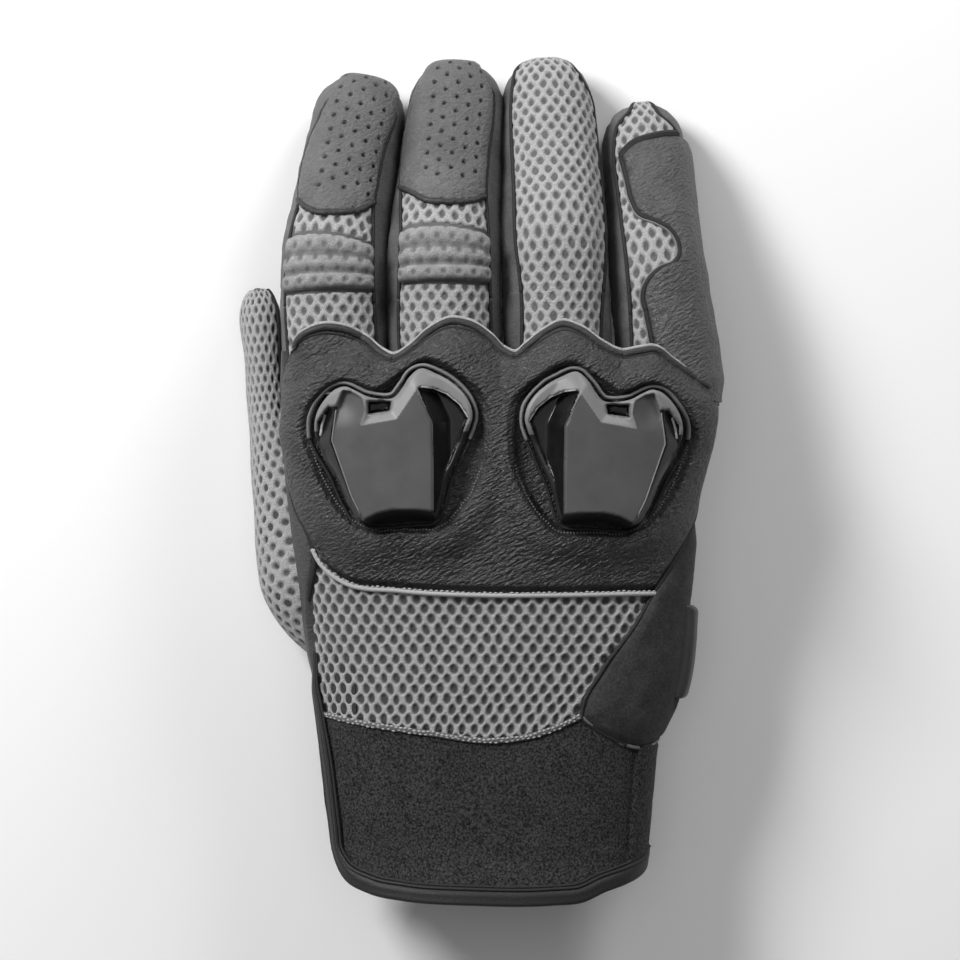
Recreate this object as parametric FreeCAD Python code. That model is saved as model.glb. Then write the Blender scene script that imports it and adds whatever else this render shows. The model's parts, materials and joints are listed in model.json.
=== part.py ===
"""Right-hand short-cuff riding glove, lying palm down, as an assembly of hollow sewn panels.

Units are millimetres.  +Y runs from the cuff to the fingertips, +X to the little finger and +Z
out of the back of the hand.  The origin is the centre of the footprint, on the resting surface.
"""
import FreeCAD, Part
import math
import os

Vector = FreeCAD.Vector

# ---------------------------------------------------------------- driving dimensions
WALL = 2.0                # outer panel thickness
LINING = 0.9              # thickness of the lining inside the hand
FINGER_WALL = 2.0         # panel and lining of a finger together
JOINT_GAP = 0.4           # clearance between two bodies at a hinge
NOSE_RADIUS = 3.0         # round nose on the side walls at each hinge
NOTCH_REACH = 30.0        # how far the notch faces run from the hinge
SECTION_POINTS = 16       # points on each cross-section curve
PANEL_SPLIT = 0.38        # share of the half height where back and palm meet the side walls

KNUCKLE_FLEX = 66.0       # degrees of flexion at the finger roots
MIDDLE_FLEX = 72.0        # degrees of flexion at the middle joints
EXTEND = 8.0              # degrees of extension at both
NOTCH_SPARE = 3.0         # degrees of notch beyond the travel

THUMB_SWING = 35.0        # degrees the thumb opens away from the hand
THUMB_FLEX = 50.0         # degrees the thumb tip bends

# Hand and cuff cross-sections: y, centre x, half width, centre z, half height.
HAND_SECTIONS = [
    (-126.0, 2.6, 41.8, 25.9, 24.6),
    (-117.0, 2.5, 42.3, 25.9, 24.2),
    (-106.0, 2.2, 43.8, 25.8, 21.8),
    (-92.0, 1.8, 45.4, 25.7, 21.4),
    (-76.0, 1.7, 47.0, 25.2, 21.6),
    (-56.0, 4.2, 51.2, 25.0, 21.8),
    (-30.0, 3.8, 54.0, 26.4, 21.0),
    (-5.0, 3.5, 57.0, 29.6, 19.4),
    (20.0, 5.2, 60.2, 32.6, 17.8),
    (34.0, 5.5, 60.6, 33.2, 16.6),
    (48.0, 5.5, 60.0, 33.4, 15.0),
]
HAND_SQUARENESS = 2.4     # 2 is an ellipse

# Fingers: hinge at the root, middle joint, tip, then half width and half height at each.
FINGERS = {
    "index": dict(root=(-41.2, 31.0, 34.0), joint=(-42.3, 61.0, 32.5), tip=(-32.2, 113.2, 5.4),
                  wide=(13.6, 13.4, 12.4), high=(12.0, 11.4, 9.8)),
    "middle": dict(root=(-10.2, 32.0, 34.4), joint=(-10.4, 63.5, 33.0), tip=(-5.8, 117.6, 5.4),
                   wide=(14.2, 14.0, 12.6), high=(12.2, 11.6, 9.8)),
    "ring": dict(root=(21.6, 32.0, 33.4), joint=(20.6, 68.0, 31.4), tip=(17.8, 118.1, 5.2),
                 wide=(13.2, 13.2, 12.0), high=(11.8, 11.2, 9.6)),
    "pinky": dict(root=(53.2, 28.0, 30.0), joint=(48.8, 61.0, 27.4), tip=(44.8, 106.0, 4.6),
                  wide=(12.8, 11.8, 11.0), high=(11.2, 10.4, 8.8)),
}
TIP_LENGTH = 13.0         # length of the rounded fingertip
OVERRUN = 14.0            # a form's spare length beyond each hinge
TIP_SEAM = {"index": 15.0, "middle": 15.5}     # leather tip starts this far past the middle joint
TIP_PROUD = 0.4           # the leather tip stands this far above the mesh
PART_WIDE = 40.0          # beyond a finger or thumb part on every side
PART_LONG = 120.0         # longer than any of them
RIB_PITCH = 4.9           # spacing of the stretch ribs
RIB_WIDTH = 4.2
RIB_PROUD = 1.6
RIB_SPAN = 0.84           # share of the finger's width
PINKY_CAP = 0.80          # the little finger's leather ends at this share of its length
PINKY_LEATHER_FROM = 0.1  # and starts this share of the half width from its centre line

# Thumb: swing axis at its base, end joint, tip; the cross-section rolls about its length.
THUMB = dict(base=(-47.4, -25.0, 14.4), joint=(-60.2, 18.0, 10.2), tip=(-62.6, 54.6, 9.8),
             wide=(13.2, 9.6, 8.8), high=(15.8, 5.2, 5.8))
THUMB_MIDDLE = (12.0, 9.6)                     # half width and half height halfway along its lower part
THUMB_ROLL = 80.0         # degrees from flat, nail side turned outwards
THUMB_CAP = 14.0          # length of the rounded end at the swing axis
THUMB_POCKET = 17.8       # radius of the space in the hand that the thumb's base turns in
POCKET_TOP = 28.6         # height of that space
THUMB_CLEARANCE = 1.0     # between the resting thumb and the hand's panels
THUMB_MOUTH = (2.0, 8.0)  # the thumb's skin is open towards the palm inside and below these, from its base

# Outlines seen from above.
CUFF_SEAM = [(-47.0, -65.0), (-43.7, -65.8), (-31.0, -68.6), (-14.3, -71.4), (2.5, -73.4), (13.7, -72.2),
             (22.1, -69.2), (28.0, -66.0)]
CUFF_HEM = [(46.0, -109.6), (39.2, -112.7), (34.7, -114.5), (28.3, -117.4), (20.0, -118.2),
            (-2.5, -118.4), (-21.8, -117.0), (-31.4, -114.9), (-37.8, -110.6), (-40.6, -104.0), (-42.4, -98.0)]
SUEDE_EDGE = [(28.0, -66.0), (33.3, -53.8), (44.0, -39.2), (48.7, -30.8), (52.9, -23.8), (58.5, -15.4)]
SUEDE_TOE = [(28.0, -66.0), (34.7, -71.4), (40.3, -74.2), (47.3, -75.0)]
PIPING = [(-38.1, -28.0), (-22.7, -30.2), (-0.3, -31.4), (22.1, -31.4), (44.5, -30.8), (48.7, -30.8)]
KNUCKLE_SIDE = [(-53.5, -1.0), (-47.6, -15.4), (-44.2, -22.4), (-38.1, -28.0)]
WIDE = 80.0               # beyond the glove's silhouette on either side
HIGH = 90.0               # above the glove
LOW = -20.0               # below the glove
FRONT = 60.0              # beyond the finger roots
REAR = -130.0             # behind the cuff
SUEDE_TOP = -12.0         # y where the suede's and knuckle leather's seam leaves the back
SUEDE_LOW = -75.0         # y of the suede's lower end on the little-finger side
KNUCKLE_LOW = -1.0        # y where the knuckle leather's seam leaves the back on the thumb side
CUFF_LEFT = -65.0         # y of the cuff's upper end on the thumb side
HEM_LEFT = -96.0          # y of the hem's end on the thumb side
PALM_LOW = -76.0          # the palm leather reaches down to here
PALM_SPLIT = ((-76.0, 25.2), (34.0, 33.2))     # y, z of the line where back and palm meet

BINDING_WIDTH = 4.0
BINDING_PROUD = 1.2
BINDING_TOP = -100.0      # the binding ends here on the thumb side
PIPING_WIDTH = 1.4
PIPING_PROUD = 1.1

# Knuckle guards: outline and crown about their centre, then height above the leather.
GUARD_CENTRE = (-24.1, 9.8)
GUARD_MIRROR_X = 4.9
GUARD_RIM = [(-22.0, 3.4), (-20.4, 10.4), (-14.1, 16.2), (-4.2, 12.9), (7.0, 20.8), (17.0, 16.0),
             (21.7, 7.6), (15.2, -9.6), (10.6, -19.2), (-8.6, -21.6), (-17.8, -6.3)]
GUARD_CROWN = [(-17.6, 2.4), (-16.9, 9.0), (-12.0, 12.2), (-4.2, 8.6), (6.2, 16.4), (8.6, 12.6),
               (10.8, 6.0), (11.0, -8.4), (10.0, -17.2), (-7.6, -19.4), (-14.6, -6.0)]
GUARD_BASE_Z = 40.0
GUARD_RIM_Z = 50.4
GUARD_TOP_Z = 56.6
GUARD_WALL = 1.8
GUARD_HOLLOW = 0.9        # plan size of the hollow against the guard
GUARD_WIDTH = 43.0
GUARD_TILT = 7.0          # degrees each guard leans outwards
GUARD_WINDOW = (-4.6, 8.2, 5.0, 2.9)           # centre and size of the air slot
WELT_WIDTH = 1.5
WELT_PROUD = 1.0

# Slider on the heel of the hand, little-finger side.
SLIDER = dict(y=(-62.0, -34.0), z=(13.0, 32.0), thick=3.4, base=1.0, margin=2.0)
HEEL_PAD = (-8.0, 30.0, -64.0, -34.0)          # x and y range of the flat pad that it rests on
HEEL_PAD_HIGH = 14.0      # tall enough to meet the palm everywhere
PALM_PATCH = (-12.0, 36.0, -20.0, 10.0)        # x and y range of the palm reinforcement
PALM_PATCH_THICK = 1.2

# Wrist strap on the palm side.
STRAP_X = (-30.0, 27.0)
STRAP_Y = (-107.0, -82.0)
STRAP_HIGH = 20.0         # above the strap, below the back of the cuff
STRAP_TAB = 12.0
LOOP_PATCH = (4.0, 34.0, 2.0)                  # start and end from the strap's free end, and its inset
HOOK_PATCH = (2.0, 30.0, 3.0)
STRAP_ANCHOR = 8.0        # width of the sewn end left on the cuff
LOOP_THICK = 0.8
STRAP_GAP = 0.3
HOOK_THICK = 0.8
STRAP_THICK = 1.7


# ---------------------------------------------------------------- helpers
def save(name, shape):
    """Write one named sub-part."""
    shape.exportStep(os.path.join("parts", name + ".step"))


def oval(cx, y, cz, wide, high, squareness=2.0):
    """Closed smooth cross-section in a plane of constant y."""
    points = []
    for k in range(SECTION_POINTS):
        turn = 2 * math.pi * k / SECTION_POINTS
        c, s = math.cos(turn), math.sin(turn)
        x = math.copysign(abs(c) ** (2 / squareness), c)
        z = math.copysign(abs(s) ** (2 / squareness), s)
        points.append(Vector(cx + wide * x, y, cz + high * z))
    curve = Part.BSplineCurve()
    curve.interpolate(Points=points, PeriodicFlag=True)
    return Part.Wire(curve.toShape())


def smooth_edge(points, z):
    """Edge through points seen from above."""
    curve = Part.BSplineCurve()
    curve.interpolate([Vector(x, y, z) for x, y in points])
    return curve.toShape()


def straight_edges(points, z):
    corners = [Vector(x, y, z) for x, y in points]
    return [Part.LineSegment(a, b).toShape() for a, b in zip(corners, corners[1:])]


def prism(edges, height):
    """Solid above a closed loop of edges."""
    return Part.Face(Part.Wire(edges)).extrude(Vector(0, 0, height))


def box(x0, x1, y0, y1, z0, z1):
    return Part.makeBox(x1 - x0, y1 - y0, z1 - z0, Vector(x0, y0, z0))


def largest(shape, count=1):
    """The largest solids of a boolean's result."""
    solids = sorted(shape.Solids, key=lambda s: -s.Volume)[:count]
    return solids[0] if count == 1 else Part.makeCompound(solids)


def local_frame(origin, along, across=None):
    """Placement whose +Y runs along, +X across and +Z towards the back."""
    y_axis = Vector(along).normalize()
    x_axis = Vector(across) if across else y_axis.cross(Vector(0, 0, 1))
    x_axis = (x_axis - y_axis * x_axis.dot(y_axis)).normalize()
    z_axis = x_axis.cross(y_axis)
    o = Vector(origin)
    rows = [(x_axis[k], y_axis[k], z_axis[k], o[k]) for k in range(3)] + [(0, 0, 0, 1)]
    return FreeCAD.Placement(FreeCAD.Matrix(*[value for row in rows for value in row]))


def placed(shape, placement):
    copy = shape.copy()
    copy.Placement = placement.multiply(copy.Placement)
    return copy


# ---------------------------------------------------------------- hinges
def notch(axis_frame, side, rise, fall, radius, gap):
    """Space on one side of a hinge: side is +1 for the child's and -1 for the parent's.
    rise and fall are how far the faces lean back above and below the hinge, in degrees."""
    h = NOTCH_REACH
    far = 4 * NOTCH_REACH
    top = h * math.tan(math.radians(rise))
    low = h * math.tan(math.radians(fall))
    corners = [(gap * side, 0), (side * (gap + top), h), (side * far, h), (side * far, -h),
               (side * (gap + low), -h)]
    points = [Vector(-2 * h, y, z) for y, z in corners]
    wedge = Part.Face(Part.makePolygon(points + points[:1])).extrude(Vector(4 * h, 0, 0))
    nose = Part.makeCylinder(radius, 4 * h, Vector(-2 * h, 0, 0), Vector(1, 0, 0))
    return placed(wedge, axis_frame), placed(nose, axis_frame)


def child_side(shape, axis_frame, fall):
    """What is left of a child beyond its hinge, with a round nose on the axis."""
    wedge, nose = notch(axis_frame, 1, 0.0, fall, NOSE_RADIUS, 0.0)
    return shape.common(wedge.fuse(nose))


def parent_side(shape, axis_frame, rise, fall):
    """What is left of a parent behind a hinge, with room for the child's nose."""
    wedge, nose = notch(axis_frame, -1, rise, fall, NOSE_RADIUS + JOINT_GAP, JOINT_GAP)
    return shape.common(wedge).cut(nose)


# ---------------------------------------------------------------- hand and cuff
def hand_form(grow):
    """Solid form of hand and cuff, grown outwards everywhere by grow."""
    if grow not in hand_form.made:
        wires = [oval(cx, y, cz, w + grow, h + grow, HAND_SQUARENESS) for y, cx, w, cz, h in HAND_SECTIONS]
        hand_form.made[grow] = Part.makeLoft(wires, True)
    return hand_form.made[grow]


hand_form.made = {}


def hand_layer(inner, outer):
    return hand_form(outer).cut(hand_form(inner))


def cuff_area():
    """Prism over the cuff, between its seam and its hem."""
    z = LOW
    seam, hem = smooth_edge(CUFF_SEAM, z), smooth_edge(CUFF_HEM, z)
    toe = [CUFF_SEAM[-1]] + SUEDE_TOE[1:] + [(WIDE, SUEDE_LOW), (WIDE, CUFF_HEM[0][1]), CUFF_HEM[0]]
    left = [CUFF_HEM[-1], (-WIDE, HEM_LEFT), (-WIDE, CUFF_LEFT), CUFF_SEAM[0]]
    return prism([seam] + straight_edges(toe, z) + [hem] + straight_edges(left, z), HIGH - LOW)


def hem_area():
    """Everything the cuff's hem line keeps, used to trim the binding."""
    z = LOW
    top = [CUFF_HEM[-1], (-WIDE, HEM_LEFT), (-WIDE, FRONT), (WIDE, FRONT), (WIDE, CUFF_HEM[0][1]), CUFF_HEM[0]]
    return prism([smooth_edge(CUFF_HEM, z)] + straight_edges(top, z), HIGH - LOW)


def knuckle_area():
    z = LOW
    rim = PIPING + SUEDE_EDGE[4:] + [(WIDE, SUEDE_TOP), (WIDE, FRONT)]
    rim += [(-WIDE, FRONT), (-WIDE, KNUCKLE_LOW)] + KNUCKLE_SIDE
    return prism(straight_edges(rim, z), HIGH - LOW)


def suede_area():
    z = LOW
    rim = SUEDE_EDGE + [(WIDE, SUEDE_TOP), (WIDE, SUEDE_LOW)] + SUEDE_TOE[::-1]
    return prism(straight_edges(rim, z), HIGH - LOW)


def mesh_area():
    z = LOW
    rim = SUEDE_EDGE[:3] + PIPING[::-1] + KNUCKLE_SIDE[:3][::-1]
    rim += [(-WIDE, KNUCKLE_LOW), (-WIDE, CUFF_LEFT), CUFF_SEAM[0]]
    return prism(straight_edges(rim, z) + [smooth_edge(CUFF_SEAM, z)], HIGH - LOW)


def above_split(up):
    """Half space on the back (up) or the palm side of the seam between them."""
    (y0, z0), (y1, z1) = PALM_SPLIT
    slope = (z1 - z0) / (y1 - y0)
    reach = 150.0
    far = HIGH if up else -40.0
    corners = [(-reach, z0 + slope * (-reach - y0)), (reach, z0 + slope * (reach - y0)), (reach, far), (-reach, far)]
    points = [Vector(-WIDE, y, z) for y, z in corners]
    return Part.Face(Part.makePolygon(points + points[:1])).extrude(Vector(2 * WIDE, 0, 0))


def root_frame(name):
    """Hinge frame at a finger's root: +X is the hinge axis."""
    f = FINGERS[name]
    along = Vector(f["joint"]) - Vector(f["root"])
    level = Vector(along.x, along.y, 0)
    return local_frame(f["root"], level)


def finger_slots():
    """x ranges of the hand's front that belong to each finger."""
    centres = [FINGERS[n]["root"][0] for n in FINGERS]
    edges = [-WIDE] + [(a + b) / 2 for a, b in zip(centres, centres[1:])] + [WIDE]
    return dict(zip(FINGERS, zip(edges, edges[1:])))


def front_keep():
    """Space that the hand may fill behind all four finger hinges."""
    keep = []
    for name, (x0, x1) in finger_slots().items():
        behind = box(x0, x1, REAR, FRONT, LOW, HIGH)
        keep.append(parent_side(behind, root_frame(name), EXTEND + NOTCH_SPARE, (KNUCKLE_FLEX + NOTCH_SPARE) / 2))
    whole = keep[0]
    for part in keep[1:]:
        whole = whole.fuse(part)
    return whole


def thumb_pocket():
    """Space in the hand that the thumb's base turns in."""
    x, y, _ = THUMB["base"]
    turned = Part.makeCylinder(THUMB_POCKET, POCKET_TOP - LOW, Vector(x, y, LOW))
    return turned.fuse(thumb_form(THUMB_CLEARANCE))


# ---------------------------------------------------------------- fingers
def finger_axis(name, part):
    """Start and end of a finger's lower or upper half."""
    f = FINGERS[name]
    ends = (f["root"], f["joint"]) if part == "lower" else (f["joint"], f["tip"])
    return Vector(ends[0]), Vector(ends[1])


def segment_frame(name, part):
    start, end = finger_axis(name, part)
    return local_frame(start, end - start)


def joint_frame(name):
    """Hinge frame at a finger's middle joint, pitched halfway between its two halves."""
    lower = finger_axis(name, "lower")
    upper = finger_axis(name, "upper")
    a = (lower[1] - lower[0]).normalize()
    b = (upper[1] - upper[0]).normalize()
    plan = Vector(b.x, b.y, 0).normalize()
    pitch = (math.asin(a.z) + math.asin(b.z)) / 2
    along = plan * math.cos(pitch) + Vector(0, 0, math.sin(pitch))
    return local_frame(upper[0], along)


def dome(length, cap, wide, high, grow):
    """Stations of a rounded end: y, half width, half height."""
    made = []
    for degrees in (0, 25, 48, 66, 80, 87):
        turn = math.radians(degrees)
        y = length - cap + (cap + grow) * math.sin(turn)
        made.append((y, (wide + grow) * math.cos(turn), (high + grow) * math.cos(turn)))
    return made


def lofted(stations):
    return Part.makeLoft([oval(0, y, 0, w, h) for y, w, h in stations], True, True)


def lower_form(name, grow):
    """Solid form of a finger's lower half in its own frame, longer than needed at both ends."""
    f = FINGERS[name]
    start, end = finger_axis(name, "lower")
    length = (end - start).Length
    rows = [(-OVERRUN, f["wide"][0], f["high"][0]), (0, f["wide"][0], f["high"][0]),
            (length, f["wide"][1], f["high"][1]), (length + OVERRUN, f["wide"][1], f["high"][1])]
    return lofted([(y, w + grow, h + grow) for y, w, h in rows])


def upper_form(name, grow):
    """Solid form of a finger's upper half with its rounded tip."""
    f = FINGERS[name]
    start, end = finger_axis(name, "upper")
    length = (end - start).Length
    rows = [(-OVERRUN, f["wide"][1], f["high"][1]), (0, f["wide"][1], f["high"][1])]
    rows = [(y, w + grow, h + grow) for y, w, h in rows]
    return lofted(rows + dome(length, TIP_LENGTH, f["wide"][2], f["high"][2], grow))


def slab(low, high):
    """Space between two heights in the frame of a finger or thumb part."""
    return box(-PART_WIDE, PART_WIDE, -PART_LONG, PART_LONG, low, high)


def panels(shell, high):
    """Back, palm and two side walls of a hollow finger part, in its own frame."""
    split = PANEL_SPLIT * high
    back = shell.common(slab(split, PART_WIDE))
    palm = shell.common(slab(-PART_WIDE, -split))
    sides = shell.common(slab(-split, split))
    return back, palm, sides


def leather_region(name, reach):
    """Space of the little finger's outer leather: its outer side wall and half of its back."""
    f = FINGERS[name]
    from_x, from_z = PINKY_LEATHER_FROM * f["wide"][1], -PANEL_SPLIT * f["high"][1]
    return box(from_x, PART_WIDE, -PART_LONG, reach, from_z, PART_WIDE)


def save_finger_part(name, part, shell, outer):
    """Split one hollow finger part into its panels.  outer is its leather's region, if it has one."""
    frame = segment_frame(name, part)
    local = placed(shell, frame.inverse())
    stem = name + "_" + part
    if outer:
        save(stem + "_leather", placed(largest(local.common(outer)), frame))
        local = local.cut(outer)
    back, palm, sides = panels(local, FINGERS[name]["high"][1])
    save(stem + "_back", placed(largest(back), frame))
    save(stem + "_palm", placed(largest(palm), frame))
    save(stem + "_sides", placed(Part.makeCompound(sides.Solids), frame))


def build_lower(name):
    frame = segment_frame(name, "lower")
    fall = (KNUCKLE_FLEX + NOTCH_SPARE) / 2
    shell = placed(lower_form(name, 0).cut(lower_form(name, -FINGER_WALL)), frame)
    shell = child_side(shell, root_frame(name), fall)
    shell = parent_side(shell, joint_frame(name), EXTEND + NOTCH_SPARE, (MIDDLE_FLEX + NOTCH_SPARE) / 2)
    save_finger_part(name, "lower", shell, leather_region(name, PART_LONG) if name == "pinky" else None)


def build_upper(name):
    frame = segment_frame(name, "upper")
    start, end = finger_axis(name, "upper")
    shell = placed(upper_form(name, 0).cut(upper_form(name, -FINGER_WALL)), frame)
    shell = child_side(shell, joint_frame(name), (MIDDLE_FLEX + NOTCH_SPARE) / 2)
    if name in TIP_SEAM:
        split = PANEL_SPLIT * FINGERS[name]["high"][1]
        beyond = box(-PART_WIDE, PART_WIDE, TIP_SEAM[name], PART_LONG, split, PART_WIDE)
        overlay = upper_form(name, TIP_PROUD).cut(upper_form(name, -FINGER_WALL)).common(beyond)
        save(name + "_tip_leather", placed(largest(overlay), frame))
        shell = shell.cut(placed(beyond, frame))
    outer = leather_region(name, (end - start).Length * PINKY_CAP) if name == "pinky" else None
    save_finger_part(name, "upper", shell, outer)


def rib(name, part, y):
    """One stretch rib over the back of a finger, y along the given half."""
    f = FINGERS[name]
    form = lower_form if part == "lower" else upper_form
    span = RIB_SPAN * f["wide"][1]
    split = PANEL_SPLIT * f["high"][1]
    band = box(-span, span, y - RIB_WIDTH / 2, y + RIB_WIDTH / 2, split, PART_WIDE)
    return largest(form(name, RIB_PROUD).cut(form(name, 0)).common(band))


def build_ribs(name):
    """Three ribs over the middle joint: one on the lower half, two on the upper half."""
    start, end = finger_axis(name, "lower")
    lower_end = (end - start).Length
    first = RIB_WIDTH / 2 + JOINT_GAP
    upper = [rib(name, "upper", first + k * RIB_PITCH) for k in range(2)]
    save(name + "_upper_ribs", placed(Part.makeCompound(upper), segment_frame(name, "upper")))
    lower = rib(name, "lower", lower_end - RIB_WIDTH / 2 - 2 * JOINT_GAP - RIB_PROUD)
    save(name + "_lower_ribs", placed(lower, segment_frame(name, "lower")))


# ---------------------------------------------------------------- thumb
def thumb_part_frame(start, end):
    along = Vector(end) - Vector(start)
    level = along.cross(Vector(0, 0, 1)).normalize()
    up = level.cross(along).normalize()
    roll = math.radians(THUMB_ROLL)
    return local_frame(start, along, level * math.cos(roll) + up * math.sin(roll))


def thumb_lower_local(grow):
    t = THUMB
    length = (Vector(t["joint"]) - Vector(t["base"])).Length
    cap = [(-y, w, h) for y, w, h in dome(THUMB_CAP, THUMB_CAP, t["wide"][0], t["high"][0], grow)][::-1]
    rows = [(length / 2, *THUMB_MIDDLE), (length, t["wide"][1], t["high"][1]),
            (length + OVERRUN, t["wide"][1], t["high"][1])]
    return lofted(cap + [(y, w + grow, h + grow) for y, w, h in rows])


def thumb_upper_local(grow):
    t = THUMB
    length = (Vector(t["tip"]) - Vector(t["joint"])).Length
    rows = [(-OVERRUN, t["wide"][1], t["high"][1]), (0, t["wide"][1], t["high"][1])]
    rows = [(y, w + grow, h + grow) for y, w, h in rows]
    return lofted(rows + dome(length, TIP_LENGTH, t["wide"][2], t["high"][2], grow))


def thumb_form(grow):
    """Both halves of the thumb as one solid, for clearance."""
    t = THUMB
    low = placed(thumb_lower_local(grow), thumb_part_frame(t["base"], t["joint"]))
    top = placed(thumb_upper_local(grow), thumb_part_frame(t["joint"], t["tip"]))
    return low.fuse(top)


def build_thumb():
    t = THUMB
    fall = (THUMB_FLEX + NOTCH_SPARE) / 2
    low_frame = thumb_part_frame(t["base"], t["joint"])
    top_frame = thumb_part_frame(t["joint"], t["tip"])
    low = placed(thumb_lower_local(0).cut(thumb_lower_local(-FINGER_WALL)), low_frame)
    low = parent_side(low, top_frame, EXTEND + NOTCH_SPARE, fall)
    x, y, _ = t["base"]
    mouth_x, mouth_y = THUMB_MOUTH
    low = low.cut(box(x + mouth_x, x + PART_WIDE, y - PART_WIDE, y + mouth_y, LOW, HIGH))
    top = placed(thumb_upper_local(0).cut(thumb_upper_local(-FINGER_WALL)), top_frame)
    top = child_side(top, top_frame, fall)
    for stem, shell, frame in (("thumb_lower", low, low_frame), ("thumb_upper", top, top_frame)):
        local = placed(shell, frame.inverse())
        save(stem + "_back", placed(largest(local.common(slab(0, PART_WIDE))), frame))
        save(stem + "_palm", placed(largest(local.common(slab(-PART_WIDE, 0))), frame))


# ---------------------------------------------------------------- knuckle guards
def guard_solid(shrink, drop):
    """Faceted guard block about the guard's centre, shrunk for its hollow."""
    def ring(points, z):
        corners = [Vector(x * shrink, y * shrink, z) for x, y in points]
        return Part.makePolygon(corners + corners[:1])
    skirt = Part.makeLoft([ring(GUARD_RIM, GUARD_BASE_Z), ring(GUARD_RIM, GUARD_RIM_Z - drop)], True, True)
    crown = Part.makeLoft([ring(GUARD_RIM, GUARD_RIM_Z - drop), ring(GUARD_CROWN, GUARD_TOP_Z - drop)], True, True)
    return skirt.fuse(crown)


def guard_place(shape):
    """Tilt a guard outwards and move it over the index-side knuckles."""
    cx, cy = GUARD_CENTRE
    turn = FreeCAD.Rotation(Vector(0, 1, 0), -GUARD_TILT)
    pivot = Vector(0, 0, GUARD_RIM_Z)
    placement = FreeCAD.Placement(Vector(cx, cy, 0), turn, pivot)
    return placed(shape, placement)


def mirrored(shape):
    return shape.mirror(Vector(GUARD_MIRROR_X, 0, 0), Vector(1, 0, 0))


def guard_outline(scale):
    """Tall prism over a guard's outline, grown about the guard's centre."""
    corners = [Vector(x * scale, y * scale, GUARD_BASE_Z) for x, y in GUARD_RIM]
    face = Part.Face(Part.makePolygon(corners + corners[:1]))
    return guard_place(face.extrude(Vector(0, 0, HIGH - GUARD_BASE_Z)))


def build_guards():
    """Two hard guards, the foam under each and the raised welt round each."""
    wx, wy, ww, wh = GUARD_WINDOW
    hollow = guard_place(guard_solid(GUARD_HOLLOW, GUARD_WALL))
    window = guard_place(box(wx - ww / 2, wx + ww / 2, wy - wh / 2, wy + wh / 2, GUARD_RIM_Z, HIGH))
    shell = guard_place(guard_solid(1.0, 0)).cut(hollow).cut(window)
    band = guard_outline(1 + 2 * WELT_WIDTH / GUARD_WIDTH).cut(guard_outline(1.0))
    raised = hand_layer(0, WELT_PROUD)
    save("knuckle_guard_index_side", largest(shell.cut(hand_form(0))))
    save("knuckle_guard_pinky_side", largest(mirrored(shell).cut(hand_form(0))))
    foam = [largest(pad.cut(hand_form(0))) for pad in (hollow, mirrored(hollow))]
    save("knuckle_foam_pads", Part.makeCompound(foam))
    welts = [largest(raised.common(strip)) for strip in (band, mirrored(band))]
    save("guard_welts", Part.makeCompound(welts))


# ---------------------------------------------------------------- hand panels
def build_hand():
    keep = front_keep()
    pocket = thumb_pocket()
    shell = hand_layer(-WALL, 0).common(keep).cut(pocket)
    back, palm = shell.common(above_split(True)), shell.common(above_split(False))
    cuff = cuff_area()
    above_cuff = box(-WIDE, WIDE, PALM_LOW, FRONT, LOW, HIGH)
    save("knuckle_leather_panel", largest(back.common(knuckle_area())))
    save("side_suede_patch", largest(back.common(suede_area())))
    save("back_mesh_panel", largest(back.common(mesh_area())))
    save("palm_leather_panel", largest(palm.cut(cuff).common(above_cuff)))
    lining = hand_layer(-WALL - LINING, -WALL).common(keep).cut(pocket).cut(cuff)
    save("hand_lining", largest(lining.common(above_cuff)))
    build_cuff(cuff, pocket)
    build_piping()
    build_palm_pads(pocket)


def build_cuff(cuff, pocket):
    """Neoprene cuff and the binding round its hem."""
    band = hem_area().cut(placed(hem_area(), FreeCAD.Placement(Vector(0, BINDING_WIDTH, 0), FreeCAD.Rotation())))
    strip = band.common(box(-WIDE, WIDE, REAR, BINDING_TOP, LOW, HIGH))
    shell = hand_layer(-WALL - LINING, 0).common(cuff).cut(pocket)
    binding = hand_layer(-WALL - LINING, BINDING_PROUD).common(strip)
    save("cuff_binding", largest(binding))
    save("neoprene_cuff", largest(shell.cut(strip)))


def build_piping():
    """Raised strip along the seam between knuckle leather and back mesh."""
    z = LOW
    back_edge = [(x, y - PIPING_WIDTH) for x, y in PIPING][::-1]
    strip = prism(straight_edges(PIPING + back_edge + PIPING[:1], z), HIGH - LOW)
    save("seam_piping", largest(hand_layer(0, PIPING_PROUD).common(strip).common(above_split(True))))


def build_palm_pads(pocket):
    """Flat heel pad the glove rests on, palm reinforcement and the side slider."""
    x0, x1, y0, y1 = HEEL_PAD
    pad = box(x0, x1, y0, y1, 0, HEEL_PAD_HIGH).cut(hand_form(0)).cut(pocket)
    save("palm_heel_pad", largest(pad))
    x0, x1, y0, y1 = PALM_PATCH
    patch = hand_layer(0, PALM_PATCH_THICK).common(box(x0, x1, y0, y1, LOW, PALM_SPLIT[0][1]))
    save("palm_patch", largest(patch))
    y0, y1 = SLIDER["y"]
    z0, z1 = SLIDER["z"]
    m = SLIDER["margin"]
    area = box(0, WIDE, y0, y1, z0, z1)
    margin = box(0, WIDE, y0 - m, y1 + m, z0 - m, z1 + m)
    save("slider_base", largest(hand_layer(0, SLIDER["base"]).common(margin)))
    block = hand_layer(SLIDER["base"], SLIDER["thick"]).common(area)
    save("heel_slider", largest(block))


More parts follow.
